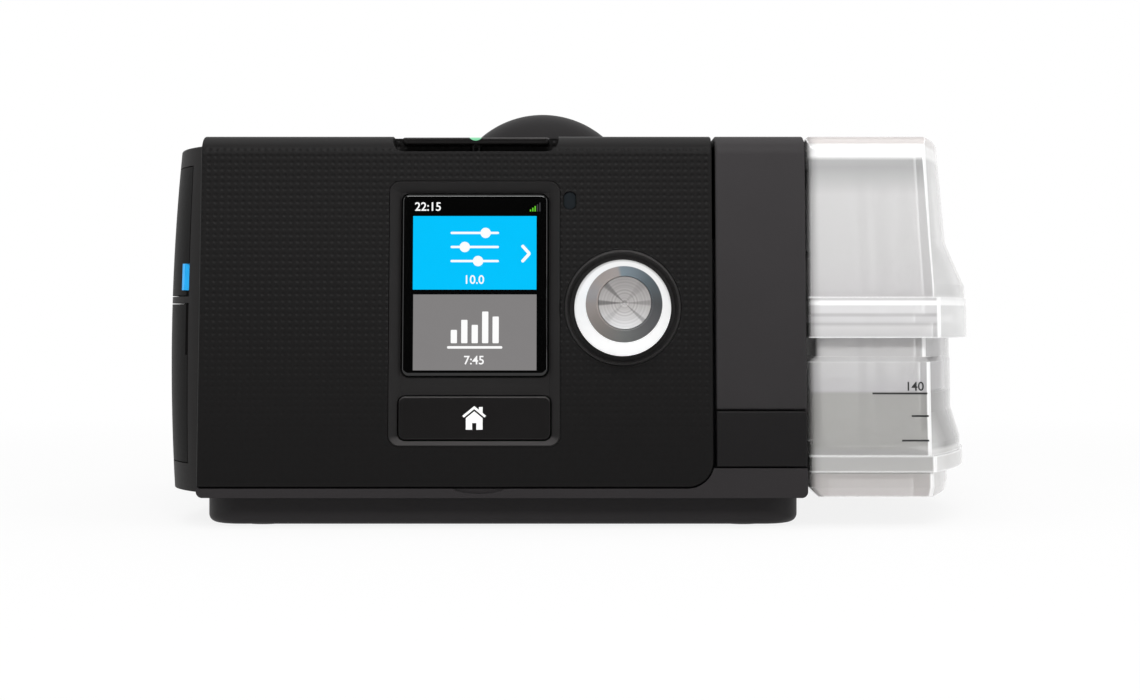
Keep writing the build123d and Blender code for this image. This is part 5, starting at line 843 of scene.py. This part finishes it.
add_digits("screen_upper_digits", "10.0", DIGIT_SIZE, -25.0, up_face(59.4), TILE_TOP - 0.01, DIGIT_THICK,
           SCREEN_WHITE, "machine")
add_digits("screen_lower_digits", "7:45", DIGIT_SIZE, -24.9, up_face(40.1), TILE_TOP - 0.01, DIGIT_THICK,
           SCREEN_WHITE, "machine")
add_digits("screen_clock", "22:15", DIGIT_SIZE, -36.1, up_face(77.0), SCREEN - 0.01, 0.05, SCREEN_WHITE,
           "machine")

# Signal bars at the top right, each taller than the last: lit ones and dim ones.
SIGNAL_X = -11.45
SIGNAL_FOOT = up_face(75.95)
SIGNAL_PITCH = 0.56
SIGNAL_WIDTH = 0.3
SIGNAL_HEIGHTS = (0.44, 0.42)     # of the first bar, and what each next one has more


def add_signal_bars(name, steps, material):
    """Some of the signal bars, as one piece."""
    bm = bmesh.new()
    for step in steps:
        high = SIGNAL_HEIGHTS[0] + step * SIGNAL_HEIGHTS[1]
        add_slab(bm, SIGNAL_X + step * SIGNAL_PITCH, SIGNAL_FOOT + high / 2, SIGNAL_WIDTH, high, SCREEN - SINK,
                 TILE_TOP)
    finish_piece(bm, name, material, "machine", ON_FACE)


add_signal_bars("signal_bars_lit", range(3), SCREEN_GREEN)
add_signal_bars("signal_bars_dim", range(3, 5), SCREEN_DIM)

# ---- Home key pictogram ------------------------------------------------------------------------
KEY_FACE = -0.8
KEY_MIDDLE = (-24.8, up_face(26.45))
# Outlines round the middle of the key: the roof with its chimney, and the walls with the door between them.
ROOF = (
    (-2.85, 0.5), (-2.45, 0.1), (0, 2.1), (2.45, 0.1), (2.85, 0.5),
    (2.0, 1.2), (2.0, 2.6), (1.1, 2.6), (1.1, 1.95), (0, 2.85),
)
WALLS = (
    (-2.0, -2.8), (-0.5, -2.8), (-0.5, -1.2), (0.5, -1.2), (0.5, -2.8),
    (2.0, -2.8), (2.0, -0.05), (0, 1.6), (-2.0, -0.05),
)
bm = bmesh.new()
for outline in (ROOF, WALLS):
    around = [(KEY_MIDDLE[0] + x, KEY_MIDDLE[1] + y) for x, y in outline]
    add_plate(bm, around, KEY_FACE - SINK, KEY_FACE + 0.05)
finish_piece(bm, "home_pictogram", PRINT_WHITE, "home_key", ON_FACE)

# ---- Marks on the tub --------------------------------------------------------------------------
TUB_FACE = -0.9 - 1.0 * math.cos(LEAN)
# Height, left end and right end of each mark.
LEVEL_MARKS = ((32.31, 70.48, 83.63), (26.93, 79.80, 83.87), (21.08, 77.41, 83.90))
MARK_THICK = 0.42
bm = bmesh.new()
for z, left, right in LEVEL_MARKS:
    add_slab(bm, (left + right) / 2, up_face(z), right - left, MARK_THICK, TUB_FACE - 0.05, TUB_FACE + 0.04)
finish_piece(bm, "tub_level_marks", PRINT_BLACK, "water_tub", ON_FACE)
add_digits("tub_level_number", "140", 3.0, 80.6, up_face(33.9), TUB_FACE, DIGIT_THICK, PRINT_BLACK, "water_tub")

# ---- Water -------------------------------------------------------------------------------------
# It fills the tub up to its upper mark: in the bay, in the bulge outside it, and in the well below.
WATER_LEVELS = (19.6, 32.5)
WALL_DEPTH = 3.95             # from the face's plane back to the inside of the tub's front wall
BACK_Y = 41.6
BAY_LEFT = -28.0
BAY_Y = (-36.3, 39.7)
BAY_MOUTH = 58.3              # where the tub widens from the bay's width to its full depth
MOUTH_BEND = 0.9
BULGE_X = 82.5
BULGE_SAG = 11.8
BULGE_STEPS = 16
WELL = (12.5, 1.7, 81.0, 76.0)    # middle across, middle back, width, depth
WELL_FLOOR = 14.7


def tub_front(z):
    """Inner side of the tub's leaning front wall."""
    return FRONT_Y + WALL_DEPTH + (z - FACE_FOOT) * math.tan(LEAN)


def water_plan(z):
    """Plan of the water at a height, with the bulge on its right side."""
    front = tub_front(z)
    middle = (front + BACK_Y) / 2
    half = (BACK_Y - front) / 2
    radius = (half * half + BULGE_SAG * BULGE_SAG) / (2 * BULGE_SAG)
    bend = BAY_MOUTH + MOUTH_BEND
    plan = [(BAY_LEFT, BAY_Y[0]), (BAY_MOUTH, BAY_Y[0]), (BAY_MOUTH, front + 1.0), (bend, front)]
    for step in range(BULGE_STEPS + 1):
        y = front + (BACK_Y - front) * step / BULGE_STEPS
        plan.append((BULGE_X + BULGE_SAG - radius + math.sqrt(radius * radius - (y - middle) ** 2), y))
    return plan + [(bend, BACK_Y), (BAY_MOUTH, BAY_Y[1]), (BAY_LEFT, BAY_Y[1])]


bm = bmesh.new()
floor_plan = [bm.verts.new((x, y, WATER_LEVELS[0])) for x, y in water_plan(WATER_LEVELS[0])]
grown = bmesh.ops.extrude_face_region(bm, geom=[bm.faces.new(floor_plan)])
shift = (WATER_LEVELS[1] - WATER_LEVELS[0]) * math.tan(LEAN)
for vert in [v for v in grown["geom"] if isinstance(v, bmesh.types.BMVert)]:
    vert.co.z = WATER_LEVELS[1]
    if vert.co.y < -50:       # the water's front follows the leaning wall
        vert.co.y += shift
finish_piece(bm, "water", WATER, "water_tub")
bm = bmesh.new()
add_slab(bm, *WELL, WELL_FLOOR, WATER_LEVELS[0] - 0.1)
finish_piece(bm, "water_in_the_well", WATER, "water_tub")

# ---- Ring mark on the adapter cover ------------------------------------------------------------
RING_MIDDLE = (-100.9, -35.0, 64.6)
RING_PROFILE = ((2.1, 0, -0.05), (2.8, 0, -0.05), (2.8, 0, 0.06), (2.1, 0, 0.06))
bm = bmesh.new()
profile = [bm.verts.new(point) for point in RING_PROFILE]
edges = [bm.edges.new((profile[i], profile[(i + 1) % 4])) for i in range(4)]
bmesh.ops.spin(bm, geom=profile + edges, cent=(0, 0, 0), axis=(0, 0, 1), angle=2 * math.pi, steps=48,
               use_merge=True)
finish_piece(bm, "adapter_ring_mark", PRINT_BLUE, "adapter_door",
             Matrix.Translation(RING_MIDDLE) @ Matrix.Rotation(-math.pi / 2, 4, "Y"))

# ---- Floor -------------------------------------------------------------------------------------
# Pale paper sweep. It glows to plain white away from the object, so it shows no edge or horizon.
made, tree, surface = new_material("Studio_Floor")
path = add_node(tree, "ShaderNodeLightPath").outputs
matt = add_node(tree, "ShaderNodeBsdfDiffuse", {"Color": (0.86, 0.86, 0.86, 1)})
white = add_node(tree, "ShaderNodeEmission", {"Color": WHITE, "Strength": 1.0})
seen = add_node(tree, "ShaderNodeMath", {
    0: path["Is Camera Ray"], 1: path["Is Transmission Ray"],
}, operation="MAXIMUM")
seen = add_node(tree, "ShaderNodeMath", {0: seen.outputs[0], 1: path["Is Glossy Ray"]}, operation="MAXIMUM")
away = add_node(tree, "ShaderNodeVectorMath", {
    0: add_node(tree, "ShaderNodeTexCoord").outputs["Object"],
}, operation="LENGTH")
glow = add_node(tree, "ShaderNodeMapRange", {
    "Value": away.outputs["Value"], "From Min": 0.14, "From Max": 0.5, "To Min": 0.86, "To Max": 1.0,
}, interpolation_type="SMOOTHSTEP")
part = add_node(tree, "ShaderNodeMath", {0: seen.outputs[0], 1: glow.outputs[0]}, operation="MULTIPLY")
mix = add_node(tree, "ShaderNodeMixShader", {0: part.outputs[0], 1: matt.outputs[0], 2: white.outputs[0]})
tree.links.new(mix.outputs[0], surface)
bm = bmesh.new()
bmesh.ops.create_grid(bm, x_segments=1, y_segments=1, size=3.0)
mesh = bpy.data.meshes.new("studio_floor")
bm.to_mesh(mesh)
bm.free()
floor = bpy.data.objects.new("studio_floor", mesh)
bpy.context.scene.collection.objects.link(floor)
mesh.materials.append(made)

# ---- World -------------------------------------------------------------------------------------
# Mirror-like surfaces see a dark room towards the front and the white sweep behind and above.
world = bpy.data.worlds.new("Studio")
bpy.context.scene.world = world
world.use_nodes = True
tree = world.node_tree
tree.nodes.clear()
path = add_node(tree, "ShaderNodeLightPath").outputs
aim = add_node(tree, "ShaderNodeSeparateXYZ", {0: add_node(tree, "ShaderNodeTexCoord").outputs["Generated"]})
behind = add_node(tree, "ShaderNodeMapRange", {
    "Value": aim.outputs["Y"], "From Min": -0.7, "From Max": -0.05, "To Min": 0.02, "To Max": 1.0,
}, interpolation_type="SMOOTHSTEP")
straight = add_node(tree, "ShaderNodeMath", {
    0: path["Is Camera Ray"], 1: path["Is Transmission Ray"],
}, operation="MAXIMUM")
mirrored = add_node(tree, "ShaderNodeMix", {
    0: path["Is Glossy Ray"], 2: 0.45, 3: behind.outputs[0],
}, data_type="FLOAT")
level = add_node(tree, "ShaderNodeMix", {
    0: straight.outputs[0], 2: mirrored.outputs[0], 3: 1.0,
}, data_type="FLOAT")
back = add_node(tree, "ShaderNodeBackground", {"Color": WHITE, "Strength": level.outputs[0]})
tree.links.new(back.outputs[0], add_node(tree, "ShaderNodeOutputWorld").inputs["Surface"])

# ---- Lights and camera, in metres and watts ----------------------------------------------------
LIT_POINT = Vector((0, 0, 0.05))


def softbox(name, place, width, height, power):
    """Rectangular studio light aimed at the middle of the machine."""
    lamp = bpy.data.lights.new(name, "AREA")
    lamp.shape = "RECTANGLE"
    lamp.size = width
    lamp.size_y = height
    lamp.energy = power
    holder = bpy.data.objects.new(name, lamp)
    bpy.context.scene.collection.objects.link(holder)
    holder.location = place
    holder.rotation_mode = "QUATERNION"
    holder.rotation_quaternion = (LIT_POINT - Vector(place)).to_track_quat("-Z", "Y")


softbox("softbox_top", (0.0, -0.1, 1.1), 1.1, 0.8, 4.5)
softbox("softbox_left", (-0.95, -0.7, 0.35), 0.35, 0.9, 1.8)
softbox("softbox_right", (1.0, -0.6, 0.35), 0.35, 0.9, 2.4)
softbox("softbox_front", (0.0, -1.25, 1.0), 1.0, 0.3, 12.0)

# The camera stands square in front, level, at about half the machine's height, with its lens shifted.
lens = bpy.data.cameras.new("camera")
camera = bpy.data.objects.new("camera", lens)
bpy.context.scene.collection.objects.link(camera)
camera.location = (-1.95 * MM, -471.5 * MM, 50.0 * MM)
camera.rotation_euler = (math.pi / 2, 0, 0)
lens.sensor_width = 36.0
lens.lens = 54.19
lens.shift_y = -31 / 1140
lens.clip_start = 0.01
bpy.context.scene.camera = camera
bpy.context.scene.view_settings.view_transform = "Standard"
